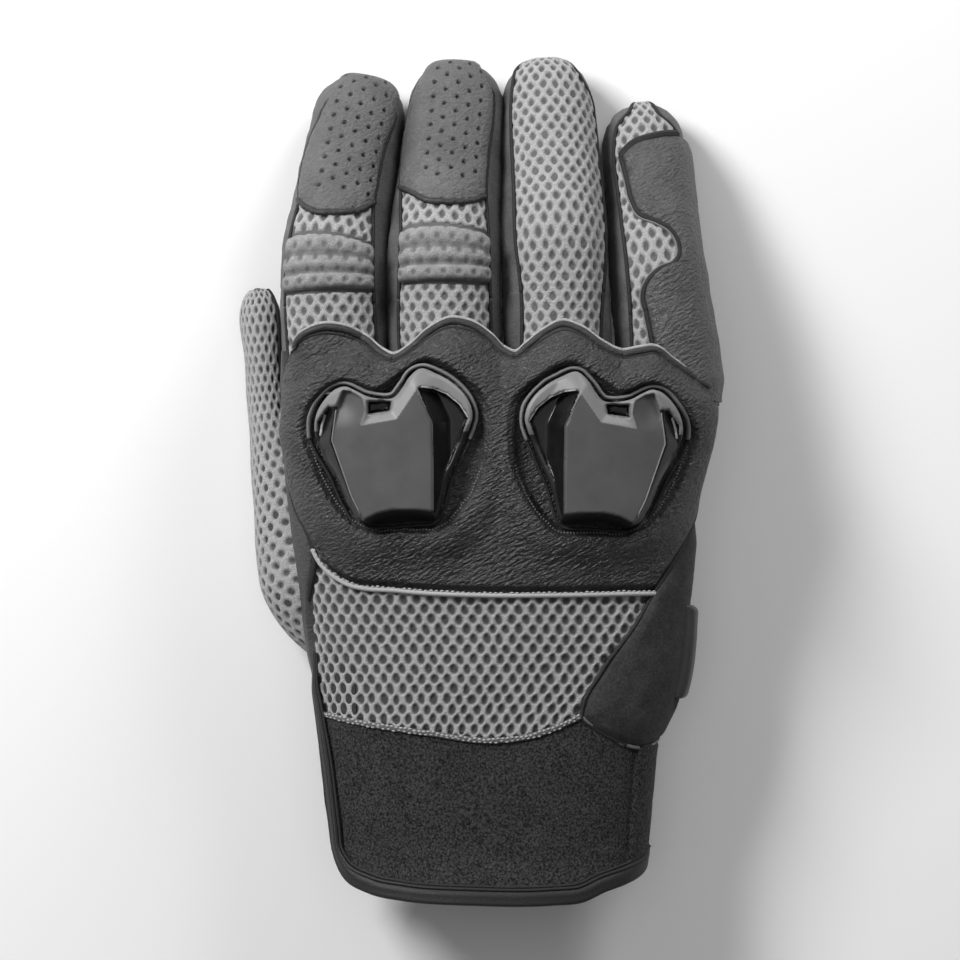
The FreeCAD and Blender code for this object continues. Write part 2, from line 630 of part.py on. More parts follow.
def build_strap():
    """Hook-and-loop wrist strap across the palm side of the cuff."""
    x0, x1 = STRAP_X
    y0, y1 = STRAP_Y
    under = box(x0, x1, y0, y1, LOW, STRAP_HIGH)
    hook_from = LOOP_THICK + STRAP_GAP
    strap_from = hook_from + HOOK_THICK
    strap_to = strap_from + STRAP_THICK
    start, end, inset = LOOP_PATCH
    patch = box(x0 + start, x0 + end, y0 + inset, y1 - inset, LOW, STRAP_HIGH)
    loop = hand_layer(0, LOOP_THICK).common(patch)
    save("loop_patch", largest(loop))
    start, end, inset = HOOK_PATCH
    patch = box(x0 + start, x0 + end, y0 + inset, y1 - inset, LOW, STRAP_HIGH)
    hook = hand_layer(hook_from, strap_from).common(patch)
    save("hook_patch", largest(hook))
    band = hand_layer(strap_from, strap_to).common(under)
    tab = box(x0, x0 + STRAP_TAB, y0, y1, LOW, STRAP_HIGH)
    save("strap_band", largest(band.cut(tab)))
    save("strap_pull_tab", largest(band.common(tab)))
    sewn = box(x1 + JOINT_GAP, x1 + STRAP_ANCHOR, y0, y1, LOW, STRAP_HIGH)
    save("strap_anchor", largest(hand_layer(0, strap_to).common(sewn)))


def main():
    os.makedirs("parts", exist_ok=True)
    build_hand()
    build_guards()
    build_strap()
    build_thumb()
    for name in FINGERS:
        build_lower(name)
        build_upper(name)
    for name in TIP_SEAM:
        build_ribs(name)


main()
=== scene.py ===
"""Looks of a right-hand riding glove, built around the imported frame.

Lengths are millimetres until a mesh is written, where MM turns them into metres.  +Y points to the
fingertips, +X to the little finger, +Z out of the back of the hand.
"""
import json
import math
import bpy
import numpy as np
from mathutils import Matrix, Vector


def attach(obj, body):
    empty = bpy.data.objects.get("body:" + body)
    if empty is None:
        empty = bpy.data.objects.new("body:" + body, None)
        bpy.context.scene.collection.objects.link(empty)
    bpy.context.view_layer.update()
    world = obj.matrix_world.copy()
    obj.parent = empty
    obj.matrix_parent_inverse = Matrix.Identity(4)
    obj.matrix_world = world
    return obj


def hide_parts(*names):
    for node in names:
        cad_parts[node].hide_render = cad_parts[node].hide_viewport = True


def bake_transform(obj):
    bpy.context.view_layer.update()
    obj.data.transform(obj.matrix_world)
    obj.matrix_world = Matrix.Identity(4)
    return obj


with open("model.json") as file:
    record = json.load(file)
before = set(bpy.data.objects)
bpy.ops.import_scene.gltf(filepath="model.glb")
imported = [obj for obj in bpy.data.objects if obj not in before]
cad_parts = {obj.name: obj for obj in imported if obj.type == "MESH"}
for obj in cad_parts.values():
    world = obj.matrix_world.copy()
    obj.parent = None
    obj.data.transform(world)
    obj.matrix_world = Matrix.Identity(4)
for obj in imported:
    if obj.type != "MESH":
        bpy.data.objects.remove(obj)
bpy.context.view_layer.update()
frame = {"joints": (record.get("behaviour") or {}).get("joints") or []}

MM = 0.001

# ---------------------------------------------------------------- driving dimensions
# Hand and cuff sections: y, centre x, half width, centre z, half height.
HAND_SECTIONS = [
    (-126.0, 2.6, 41.8, 25.9, 24.6),
    (-117.0, 2.5, 42.3, 25.9, 24.2),
    (-106.0, 2.2, 43.8, 25.8, 21.8),
    (-92.0, 1.8, 45.4, 25.7, 21.4),
    (-76.0, 1.7, 47.0, 25.2, 21.6),
    (-56.0, 4.2, 51.2, 25.0, 21.8),
    (-30.0, 3.8, 54.0, 26.4, 21.0),
    (-5.0, 3.5, 57.0, 29.6, 19.4),
    (20.0, 5.2, 60.2, 32.6, 17.8),
    (34.0, 5.5, 60.6, 33.2, 16.6),
    (48.0, 5.5, 60.0, 33.4, 15.0),
]
HAND_SQUARENESS = 2.4
FINGER_SQUARENESS = 2.15

# Fingers: half width and half height at the root, middle joint and tip, then the tip's end, and how
# far the lower half swells on the thumb side and on the other side.
FINGERS = {
    "index": dict(wide=(13.6, 13.4, 12.4), high=(12.0, 11.4, 9.8), tip=(-32.2, 113.2, 5.4),
                  bulge=((1.2, 1.2, 1.0), (2.4, 2.9, 0.5))),
    "middle": dict(wide=(14.2, 14.0, 12.6), high=(12.2, 11.6, 9.8), tip=(-5.8, 117.6, 5.4),
                   bulge=((2.4, 2.9, 0.5), (2.6, 2.6, 0.5))),
    "ring": dict(wide=(13.2, 13.2, 12.0), high=(11.8, 11.2, 9.6), tip=(17.8, 118.1, 5.2),
                 bulge=((2.6, 2.6, 0.5), (2.8, 2.0, 0.8))),
    "pinky": dict(wide=(12.8, 11.8, 11.0), high=(11.2, 10.4, 8.8), tip=(44.8, 106.0, 4.6),
                  bulge=((2.8, 2.0, 0.8), (1.0, 1.0, 0.9))),
}
TIP_LENGTH = 13.0
BEND_SOFTNESS = 4.5        # how softly the centre line turns at a joint
HIDDEN_ROOT = 12.0         # length of finger skin inside the hand

THUMB = dict(wide=(13.2, 12.0, 9.6, 8.8), high=(15.4, 10.7, 5.8, 6.4), tip=(-62.6, 54.6, 9.8), cap=28.0)
THUMB_ROLL = math.radians(80.0)

# Air mesh: staggered oval holes.
MESH_PITCH = (3.75, 2.78)  # across, and from row to row
MESH_HOLE = (1.08, 1.42)   # half sizes of a hole
MESH_DEPTH = 0.75          # of a hole
HOLE_PITCH = (6.9, 2.3)    # leather perforations, across and from row to row
HOLE_RADIUS = 0.52
FINE = 0.42                # vertex spacing of air mesh and the knuckle lobes
MEDIUM = 0.8               # of plain leather


def joint(name):
    """A joint's point in millimetres."""
    return np.array(next(j["pos_m"] for j in frame["joints"] if j["name"] == name), float) / MM


# ---------------------------------------------------------------- numbers
def smooth(t):
    """0 below 0, 1 above 1, and an even rise between."""
    t = np.clip(t, 0.0, 1.0)
    return t * t * (3.0 - 2.0 * t)


def unit(v):
    """Vectors scaled to length 1."""
    return v / np.maximum(np.linalg.norm(v, axis=-1, keepdims=True), 1e-9)


def cubic_table(x, y, at):
    """Smooth curve through a table, with the slopes of its neighbours."""
    x, y = np.asarray(x, float), np.asarray(y, float)
    slope = np.gradient(y, x)
    k = np.clip(np.searchsorted(x, at) - 1, 0, len(x) - 2)
    step = x[k + 1] - x[k]
    t = np.clip((at - x[k]) / step, 0.0, 1.0)
    a = (1 + 2 * t) * (1 - t) ** 2
    b = t * (1 - t) ** 2 * step
    c = t * t * (3 - 2 * t)
    d = t * t * (t - 1) * step
    return a * y[k] + b * slope[k] + c * y[k + 1] + d * slope[k + 1]


def curve(points, count, soft=True):
    """Evenly spaced points on a smooth line through a few given ones."""
    points = np.asarray(points, float)
    reach = np.r_[0, np.cumsum(np.linalg.norm(np.diff(points, axis=0), axis=1))]
    even = np.linspace(0, reach[-1], max(200, count))
    if soft and len(points) > 2:
        dense = np.stack([cubic_table(reach, points[:, k], even) for k in range(points.shape[1])], 1)
    else:
        dense = np.stack([np.interp(even, reach, points[:, k]) for k in range(points.shape[1])], 1)
    run = np.r_[0, np.cumsum(np.linalg.norm(np.diff(dense, axis=0), axis=1))]
    at = np.linspace(0, run[-1], count)
    return np.stack([np.interp(at, run, dense[:, k]) for k in range(points.shape[1])], 1)


def coons(bottom, top, left, right, columns, rows):
    """Grid between four boundary lines.  Bottom and top run left to right, the sides upwards."""
    b, t = curve(bottom, columns), curve(top, columns)
    l, r = curve(left, rows), curve(right, rows)
    u = np.linspace(0, 1, columns)[None, :, None]
    v = np.linspace(0, 1, rows)[:, None, None]
    ruled_v = (1 - v) * b[None] + v * t[None]
    ruled_u = (1 - u) * l[:, None] + u * r[:, None]
    corners = (1 - u) * (1 - v) * b[0] + u * (1 - v) * b[-1] + (1 - u) * v * t[0] + u * v * t[-1]
    return ruled_v + ruled_u - corners


def nearest_on_line(x, y, points, closed):
    """Distance to a line of points, and the nearest point on it, all seen from above."""
    p = np.asarray(points, float)
    if closed:
        p = np.vstack([p, p[:1]])
    best = np.full(x.shape, 1e9)
    near_x, near_y = np.array(x), np.array(y)
    for (ax, ay), (bx, by) in zip(p[:-1], p[1:]):
        dx, dy = bx - ax, by - ay
        t = np.clip(((x - ax) * dx + (y - ay) * dy) / max(dx * dx + dy * dy, 1e-9), 0, 1)
        away = np.hypot(x - ax - t * dx, y - ay - t * dy)
        closer = away < best
        best = np.where(closer, away, best)
        near_x = np.where(closer, ax + t * dx, near_x)
        near_y = np.where(closer, ay + t * dy, near_y)
    return best, near_x, near_y


def distance_to_line(x, y, points, closed=False):
    """Distance to a line of points seen from above."""
    return nearest_on_line(x, y, points, closed)[0]


def inside(x, y, points):
    """True where a point lies inside a closed outline seen from above."""
    p = np.asarray(points, float)
    result = np.zeros(x.shape, bool)
    for (ax, ay), (bx, by) in zip(p, np.roll(p, -1, axis=0)):
        crosses = (ay > y) != (by > y)
        at = (bx - ax) * (y - ay) / (by - ay if by != ay else 1e-9) + ax
        result ^= crosses & (x < at)
    return result


def value_noise(x, y, size, seed):
    """Smooth random field between -1 and 1 with features about size across."""
    rng = np.random.default_rng(seed)
    table = rng.uniform(-1, 1, (64, 64))
    gx, gy = x / size, y / size
    ix, iy = np.floor(gx).astype(int), np.floor(gy).astype(int)
    fx, fy = smooth(gx - ix), smooth(gy - iy)
    def at(a, b):
        """Random value at a corner of the repeating table."""
        return table[a % 64, b % 64]
    low = at(ix, iy) * (1 - fx) + at(ix + 1, iy) * fx
    top = at(ix, iy + 1) * (1 - fx) + at(ix + 1, iy + 1) * fx
    return low * (1 - fy) + top * fy


def lattice(u, v, pitch, radius, power=2.0):
    """Distance from the middle of the nearest staggered hole, as a share of the hole's half size."""
    best = np.full(np.shape(u), 9.0)
    for shift_u, shift_v in ((0.0, 0.0), (0.5, 1.0)):
        du = (u / pitch[0] + shift_u) % 1.0 - 0.5
        dv = (v / (2 * pitch[1]) + 0.5 * shift_v) % 1.0 - 0.5
        away_u, away_v = np.abs(du) * pitch[0] / radius[0], np.abs(dv) * 2 * pitch[1] / radius[1]
        best = np.minimum(best, (away_u ** power + away_v ** power) ** (1 / power))
    return best


def mesh_holes(u, v, scale=1.0, power=2.0):
    """Knitted holes, a little uneven: 1 in a hole, 0 on the threads."""
    u, v = u + 0.3 * value_noise(u, v, 2.9, 17), v + 0.3 * value_noise(u, v, 3.3, 18)
    return smooth((1.28 - lattice(u, v, MESH_PITCH, np.array(MESH_HOLE) * scale, power)) / 0.6)


def leather_holes(u, v):
    """Punched holes: 1 in a hole, 0 on the leather."""
    return smooth((1.35 - lattice(u, v, HOLE_PITCH, (HOLE_RADIUS, HOLE_RADIUS))) / 0.6)


# ---------------------------------------------------------------- forms
class Form:
    """Smooth tube the panels lie on.  q runs round it: 0 on the thumb side, over the back to 1 on the
    little-finger side, and under the palm to 2.  s runs along it in millimetres."""

    def __init__(self, s, centre, across, up, wide, high, squareness, bulges=(0.0, 0.0)):
        self.s, self.centre, self.across, self.up = s, centre, across, up
        self.wide, self.high, self.n = wide, high, squareness
        self.bulges = [np.broadcast_to(bulge, s.shape) for bulge in bulges]
        middle = len(s) // 2
        turn = np.linspace(math.pi, -math.pi, 721)
        x, z = self.unit_section(turn)
        run = np.hypot(np.diff(x * wide[middle]), np.diff(z * high[middle]))
        self.girth = float(run.sum())
        self.turn = turn
        self.q_of_turn = 2 * np.r_[0, np.cumsum(run)] / self.girth
        self.samples = None

    def unit_section(self, turn):
        """Rounded square of half size 1 at an angle."""
        c, s = np.cos(turn), np.sin(turn)
        r = (np.abs(c) ** self.n + np.abs(s) ** self.n) ** (-1 / self.n)
        return r * c, r * s

    def along(self, table, s):
        """A table of the form, read at s."""
        if table.ndim == 1:
            return np.interp(s, self.s, table)
        return np.stack([np.interp(s, self.s, table[:, k]) for k in range(3)], -1)

    def bare(self, q, s):
        """Point on the form's own surface."""
        turn = np.interp(np.mod(q, 2.0), self.q_of_turn, self.turn)
        x, z = self.unit_section(turn)
        bulge = np.where(x < 0, self.along(self.bulges[0], s), self.along(self.bulges[1], s))
        out = x * (self.along(self.wide, s) + bulge * np.exp(-((z + 0.2) / 0.42) ** 2))
        up = z * self.along(self.high, s)
        return (self.along(self.centre, s) + out[..., None] * self.along(self.across, s)
                + up[..., None] * self.along(self.up, s))

    def normal(self, q, s):
        """Outward normal of the form."""
        s = np.clip(s, self.s[0] + 0.3, self.s[-1] - 0.3)
        dq = self.bare(q + 0.004, s) - self.bare(q - 0.004, s)
        ds = self.bare(q, s + 0.15) - self.bare(q, s - 0.15)
        return unit(np.cross(ds, dq) * -1.0)

    def at(self, q, s, h=0.0):
        """Point at height h over the form."""
        q, s = np.broadcast_arrays(q, s)
        h = np.broadcast_to(h, q.shape)
        return self.bare(q, s) + self.normal(q, s) * h[..., None]

    def locate(self, points):
        """q and s of points given from above, on the back of the form."""
        if self.samples is None:
            q, s = np.meshgrid(np.linspace(0.0, 1.0, 281), np.arange(self.s[0], self.s[-1], 0.4))
            p = self.bare(q, s)
            self.samples = (q.ravel(), s.ravel(), p[..., 0].ravel(), p[..., 1].ravel())
        q, s, x, y = self.samples
        found = []
        for px, py in points:
            k = np.argmin((x - px) ** 2 + (y - py) ** 2)
            found.append((q[k], s[k]))
        return np.array(found)


def hand_form():
    """The hand and cuff, from their sections."""
    table = np.array(HAND_SECTIONS)
    s = np.arange(table[0, 0], table[-1, 0] + 0.5, 1.0)
    cx, wide, cz, high = (cubic_table(table[:, 0], table[:, k], s) for k in (1, 2, 3, 4))
    centre = np.stack([cx, s, cz], 1)
    across = np.tile([1.0, 0, 0], (len(s), 1))
    up = np.tile([0, 0, 1.0], (len(s), 1))
    return Form(s, centre, across, up, wide, high, HAND_SQUARENESS)


def bent_line(points, softness):
    """Dense centre line through points, its corners rounded, with the distance along it."""
    points = np.asarray(points, float)
    reach = np.r_[0, np.cumsum(np.linalg.norm(np.diff(points, axis=0), axis=1))]
    step = 0.5
    pad = 3 * softness
    at = np.arange(-pad, reach[-1] + pad + step, step)
    line = np.stack([np.interp(at, reach, points[:, k]) for k in range(3)], 1)
    first, last = unit(points[1] - points[0]), unit(points[-1] - points[-2])
    line += np.minimum(at, 0)[:, None] * first + np.maximum(at - reach[-1], 0)[:, None] * last
    reach_kernel = np.arange(-pad, pad + step, step)
    kernel = np.exp(-0.5 * (reach_kernel / softness) ** 2)
    kernel /= kernel.sum()
    soft = np.stack([np.convolve(line[:, k], kernel, "same") for k in range(3)], 1)
    keep = (at >= 0) & (at <= reach[-1])
    return at[keep], soft[keep], reach


def tube_form(points, wide, high, cap, bulges, squareness, roll=0.0, softness=BEND_SOFTNESS, start_cap=0.0):
    """Tube along points with a rounded end; wide and high are given at each point."""
    d, line, reach = bent_line(points, softness)
    total = d[-1]
    arc = cap * 1.45
    s_of_d = d[d <= total - cap]
    turn = np.linspace(0, 0.5 * math.pi, 40)[1:]
    d_cap = total - cap + cap * np.sin(turn)
    s_cap = total - cap + arc * turn / (0.5 * math.pi)
    scale_cap = np.maximum(1 - np.sin(turn) ** 2.3, 0) ** (1 / 2.3)
    d_all = np.r_[s_of_d, d_cap]
    s_all = np.r_[s_of_d, s_cap]
    scale = np.r_[np.ones(len(s_of_d)), scale_cap]
    if start_cap:
        near = np.clip(1 - d_all / start_cap, 0, 1)
        scale = scale * np.maximum(1 - near ** 1.7, 0.0005) ** (1 / 1.7)
    centre = np.stack([np.interp(d_all, d, line[:, k]) for k in range(3)], 1)
    forward = unit(np.gradient(line, d, axis=0))
    forward = unit(np.stack([np.interp(d_all, d, forward[:, k]) for k in range(3)], 1))
    level = unit(np.cross(forward, [0, 0, 1.0]))
    rise = np.cross(level, forward)
    across = level * math.cos(roll) + rise * math.sin(roll)
    up = np.cross(across, forward)
    w = cubic_table(reach, wide, d_all) * scale
    h = cubic_table(reach, high, d_all) * scale
    swells = [np.interp(d_all, reach[-len(b):], b) * scale for b in bulges]
    return Form(s_all, centre, across, up, w, h, squareness, swells)


def finger_form(name):
    """A finger, from inside the hand through its two joints to its tip."""
    f = FINGERS[name]
    root, middle, tip = joint(name + "_knuckle"), joint(name + "_middle_joint"), np.array(f["tip"])
    start = root - unit(middle - root) * HIDDEN_ROOT
    wide = (f["wide"][0],) + f["wide"]
    high = (f["high"][0],) + f["high"]
    return tube_form([start, root, middle, tip], wide, high, TIP_LENGTH, f["bulge"], FINGER_SQUARENESS)


def thumb_form():
    """The thumb, lying on its side against the hand."""
    base, end, tip = joint("thumb_swing"), joint("thumb_tip_joint"), np.array(THUMB["tip"])
    along = unit(end - base)
    start = base - along * THUMB["cap"]
    wide = (THUMB["wide"][0],) + (THUMB["wide"][0],) + THUMB["wide"][1:]
    high = (THUMB["high"][0],) + (THUMB["high"][0],) + THUMB["high"][1:]
    points = [start, base, (base + end) / 2, end, tip]
    return tube_form(points, wide, high, TIP_LENGTH, ((0.0, 0.0), (0.0, 0.0)), FINGER_SQUARENESS, THUMB_ROLL,
                     6.0, THUMB["cap"])


HAND = hand_form()
FORMS = {name: finger_form(name) for name in FINGERS}
THUMB_TUBE = thumb_form()


# ---------------------------------------------------------------- meshes
class Part:
    """Vertices, faces, material and painted detail of one stretch of a piece."""

    def __init__(self, points, faces, material, detail=None):
        self.points = np.asarray(points, float).reshape(-1, 3)
        self.faces = faces
        self.material = material
        self.detail = np.zeros(len(self.points)) if detail is None else np.asarray(detail, float).ravel()


def grid_faces(rows, columns, wrap=False):
    """Quads of a grid whose points go row by row."""
    r, c = np.meshgrid(np.arange(rows - 1), np.arange(columns if wrap else columns - 1), indexing="ij")
    d = (c + 1) % columns
    return np.stack([r * columns + c, r * columns + d, (r + 1) * columns + d, (r + 1) * columns + c],
                    -1).reshape(-1, 4)


def rim(rows, columns):
    """Indices round a grid's border."""
    low = np.arange(columns)
    right = np.arange(1, rows) * columns + columns - 1
    top = (rows - 1) * columns + np.arange(columns - 2, -1, -1)
    left = np.arange(rows - 2, 0, -1) * columns
    return np.r_[low, right, top, left]


def sheet_part(form, q, s, h, material, detail=None, thick=1.0, closed=False):
    """Panel on a form: a grid of q, s and height, with turned-in edges or a whole back face."""
    return surface_part(form.at(q, s, h), form.normal(q, s), material, detail, thick, closed)


def surface_part(top, normals, material, detail=None, thick=1.0, closed=False):
    """Panel from a grid of points and their normals."""
    rows, columns = top.shape[:2]
    points = top.reshape(-1, 3)
    faces = grid_faces(rows, columns)
    detail = np.zeros((rows, columns)) if detail is None else detail
    count = rows * columns
    edge = rim(rows, columns)
    if closed:
        under = (top - normals * thick).reshape(-1, 3)
        points = np.vstack([points, under])
        wall = np.stack([edge, edge + count, np.roll(edge, -1) + count, np.roll(edge, -1)], 1)
        faces = np.vstack([faces, faces[:, ::-1] + count, wall])
        paint = np.r_[detail.ravel(), detail.ravel()]
    else:
        border_points = points[edge]
        lower = border_points - normals.reshape(-1, 3)[edge] * thick
        points = np.vstack([points, border_points, lower])
        k = count + np.arange(len(edge))
        n = len(edge)
        wall = np.stack([k, k + n, np.roll(k, -1) + n, np.roll(k, -1)], 1)
        faces = np.vstack([faces, wall])
        paint = np.r_[detail.ravel(), detail.ravel()[edge], detail.ravel()[edge]]
    return Part(points, faces, material, paint)


def sweep_part(line, normal, profile, material):
    """Rod of a given profile (across, up) along a line that lies on a surface."""
    ahead = np.roll(line, -1, axis=0) - np.roll(line, 1, axis=0)
    ahead[0], ahead[-1] = line[1] - line[0], line[-1] - line[-2]
    ahead = unit(ahead)
    side = unit(np.cross(ahead, normal))
    up = np.cross(side, ahead)
    profile = np.asarray(profile, float)
    rings = line[:, None] + side[:, None] * profile[None, :, :1] + up[:, None] * profile[None, :, 1:]
    rows, columns = rings.shape[:2]
    faces = grid_faces(rows, columns, wrap=True)
    points = rings.reshape(-1, 3)
    k = np.arange(columns)
    after = (k + 1) % columns
    last = (rows - 1) * columns
    points = np.vstack([points, line[:1], line[-1:]])
    start = np.stack([np.full(columns, rows * columns), after, k], 1)
    end = np.stack([np.full(columns, rows * columns + 1), last + k, last + after], 1)
    return Part(points, [*faces, *start, *end], material)


ROD_SIDES = 10


def rod_part(line, normal, across, up, material, lift=0.0):
    """Rod of oval section along a line, given by its half sizes and raised by lift."""
    turn = np.linspace(0, 2 * math.pi, ROD_SIDES, endpoint=False)
    section = np.stack([across * np.cos(turn), lift + up * np.sin(turn)], 1)
    return sweep_part(line, normal, section, material)


def line_on(form, line, count, h=0.0, soft=True):
    """Points and normals of a line on a form, given in millimetres round and along it."""
    path = curve(line, count, soft)
    q = path[:, 0] * 2 / form.girth
    return form.at(q, path[:, 1], h), form.normal(q, path[:, 1])


STITCH_RINGS = 7
STITCH_SIDES = 6


def stitches_part(line, normal, material, pitch, length, radius, lift, loose=0.0):
    """Row of thread stitches along a line, each up to loose millimetres out of line."""
    run = np.r_[0, np.cumsum(np.linalg.norm(np.diff(line, axis=0), axis=1))]
    count = max(int(run[-1] / pitch), 1)
    at = (np.arange(count) + 0.5) * run[-1] / count
    middle = np.stack([np.interp(at, run, line[:, k]) for k in range(3)], 1)
    up = unit(np.stack([np.interp(at, run, normal[:, k]) for k in range(3)], 1))
    ahead = unit(np.stack([np.interp(at + 0.4, run, line[:, k]) - np.interp(at - 0.4, run, line[:, k])
                           for k in range(3)], 1))
    side = np.cross(ahead, up)
    chance = np.random.default_rng(count)
    middle = middle + side * chance.uniform(-loose, loose, (count, 1))
    stations = np.linspace(-1, 1, STITCH_RINGS)
    turn = np.linspace(0, 2 * math.pi, STITCH_SIDES, endpoint=False)
    size = np.sqrt(np.maximum(1 - stations ** 2, 0.02))
    points = (middle[:, None, None] + ahead[:, None, None] * (stations * length / 2)[None, :, None, None]
              + side[:, None, None] * (radius * size[:, None] * np.cos(turn))[None, :, :, None]
              + up[:, None, None] * (lift + radius * size[:, None] * np.sin(turn))[None, :, :, None])
    one = grid_faces(STITCH_RINGS, STITCH_SIDES, wrap=True)
    caps = np.array([[5, 4, 3, 2], [5, 2, 1, 0], [36, 37, 38, 39], [36, 39, 40, 41]])
    one = np.vstack([one, caps])
    faces = (one[None] + (np.arange(count) * STITCH_RINGS * STITCH_SIDES)[:, None, None]).reshape(-1, 4)
    return Part(points, faces, material)


def mesh_object(name, points, faces, looks, materials, detail):
    """One Blender object; looks gives each face's place in the list of materials."""
    mesh = bpy.data.meshes.new(name)
    mesh.from_pydata((points * MM).tolist(), [], faces)
    for material in materials:
        mesh.materials.append(MATERIALS[material])
    mesh.polygons.foreach_set("material_index", np.array(looks, np.int32))
    mesh.polygons.foreach_set("use_smooth", np.ones(len(faces), bool))
    attribute = mesh.attributes.new("detail", "FLOAT", "POINT")
    attribute.data.foreach_set("value", detail.astype(np.float32))
    mesh.validate()
    mesh.update()
    obj = bpy.data.objects.new(name, mesh)
    bpy.context.scene.collection.objects.link(obj)
    return obj


def piece(name, parts):
    """One Blender object from its parts."""
    materials = list(dict.fromkeys(part.material for part in parts))
    faces, looks = [], []
    base = 0
    for part in parts:
        faces += [[int(v) + base for v in face] for face in part.faces]
        looks += [materials.index(part.material)] * len(part.faces)
        base += len(part.points)
    points = np.vstack([part.points for part in parts])
    detail = np.concatenate([part.detail for part in parts])
    return mesh_object(name, points, faces, looks, materials, detail)


def add(name, parts, slot, body, *nodes):
    """Piece that rides on one body and stands for the named nodes of the frame."""
    obj = piece(name, parts)
    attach(obj, body)
    if nodes:
        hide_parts(*nodes)
    return obj


def flip(part):
    """Turn a part's faces over."""
    part.faces = [list(f)[::-1] for f in part.faces]
    return part


# ---------------------------------------------------------------- materials
def shader(name, colour, rough, **sockets):
    """New material and its tree, with uniform values set on the shader itself."""
    material = bpy.data.materials.new(name)
    material.use_nodes = True
    tree = material.node_tree
    bsdf = tree.nodes["Principled BSDF"]
    bsdf.inputs["Base Color"].default_value = (*colour, 1.0)
    bsdf.inputs["Roughness"].default_value = rough
    for socket, value in sockets.items():
        bsdf.inputs[socket.replace("_", " ")].default_value = value
    MATERIALS[name] = material
    return tree, bsdf


def node(tree, kind, **values):
    """New shader node with its settings and socket values."""
    made = tree.nodes.new(kind)
    for key, value in values.items():
        if hasattr(made, key):
            setattr(made, key, value)
        else:
            made.inputs[key.replace("_", " ")].default_value = value
    return made


def place(tree, scale=(1, 1, 1), turn=0.0):
    """Object coordinates in millimetres, turned about Z and then stretched by scale."""
    where = node(tree, "ShaderNodeTexCoord")
    mapping = node(tree, "ShaderNodeMapping", vector_type="TEXTURE")
    mapping.inputs["Rotation"].default_value[2] = turn
    mapping.inputs["Scale"].default_value = [MM / c for c in scale]
    tree.links.new(where.outputs["Object"], mapping.inputs["Vector"])
    return mapping.outputs["Vector"]


def noise(tree, vector, scale, detail=3.0, rough=0.55):
    """Soft noise, with scale cells to the millimetre."""
    made = node(tree, "ShaderNodeTexNoise", Scale=scale, Detail=detail, Roughness=rough)
    tree.links.new(vector, made.inputs["Vector"])
    return made.outputs["Fac"]


def cells(tree, vector, scale):
    """Distance to the nearest of many scattered points."""
    made = node(tree, "ShaderNodeTexVoronoi", feature="F1", Scale=scale)
    tree.links.new(vector, made.inputs["Vector"])
    return made.outputs["Distance"]


def ramp(tree, value, low, high, colour_low, colour_high):
    """Colour that runs from one to the other as value goes from low to high."""
    made = node(tree, "ShaderNodeValToRGB")
    made.color_ramp.elements[0].position = low
    made.color_ramp.elements[1].position = high
    made.color_ramp.elements[0].color = (*colour_low, 1.0)
    made.color_ramp.elements[1].color = (*colour_high, 1.0)
    tree.links.new(value, made.inputs["Fac"])
    return made.outputs["Color"]


def sums(tree, a, b, share):
    """a plus share times b."""
    made = node(tree, "ShaderNodeMath", operation="MULTIPLY_ADD")
    tree.links.new(b, made.inputs[0])
    made.inputs[1].default_value = share
    tree.links.new(a, made.inputs[2])
    return made.outputs[0]


def painted(tree, colour, dark):
    """Colour that turns to dark where the mesh's detail is painted: holes, and painted shade on the knuckle
    panel and the finger ribs.
    """
    detail = node(tree, "ShaderNodeAttribute", attribute_name="detail")
    mix = node(tree, "ShaderNodeMix", data_type="RGBA")
    tree.links.new(detail.outputs["Fac"], mix.inputs["Factor"])
    tree.links.new(colour, mix.inputs["A"])
    mix.inputs["B"].default_value = (*dark, 1.0)
    return mix.outputs["Result"]


def raise_by(tree, bsdf, height, depth, strength):
    """Fine relief of a shader, depth in millimetres."""
    bump = node(tree, "ShaderNodeBump", Strength=strength, Distance=depth * MM)
    tree.links.new(height, bump.inputs["Height"])
    tree.links.new(bump.outputs["Normal"], bsdf.inputs["Normal"])


def grey(value):
    """Linear grey from a display grey between 0 and 255."""
    v = value / 255.0
    v = v / 12.92 if v <= 0.04045 else ((v + 0.055) / 1.055) ** 2.4
    return (v, v, v * 1.01)


def air_mesh_material(name, strut, hole):
    """Knitted mesh: light struts of twisted thread round darker holes."""
    tree, bsdf = shader(name, grey(strut), 0.92, Specular_IOR_Level=0.15, Sheen_Weight=0.08)
    where = place(tree)
    threads = noise(tree, where, 2.6, 4.0, 0.7)
    colour = ramp(tree, threads, 0.3, 0.72, grey(strut - 34), grey(strut + 26))
    tree.links.new(painted(tree, colour, grey(hole)), bsdf.inputs["Base Color"])
    raise_by(tree, bsdf, sums(tree, threads, cells(tree, where, 2.2), 0.5), 0.35, 0.8)


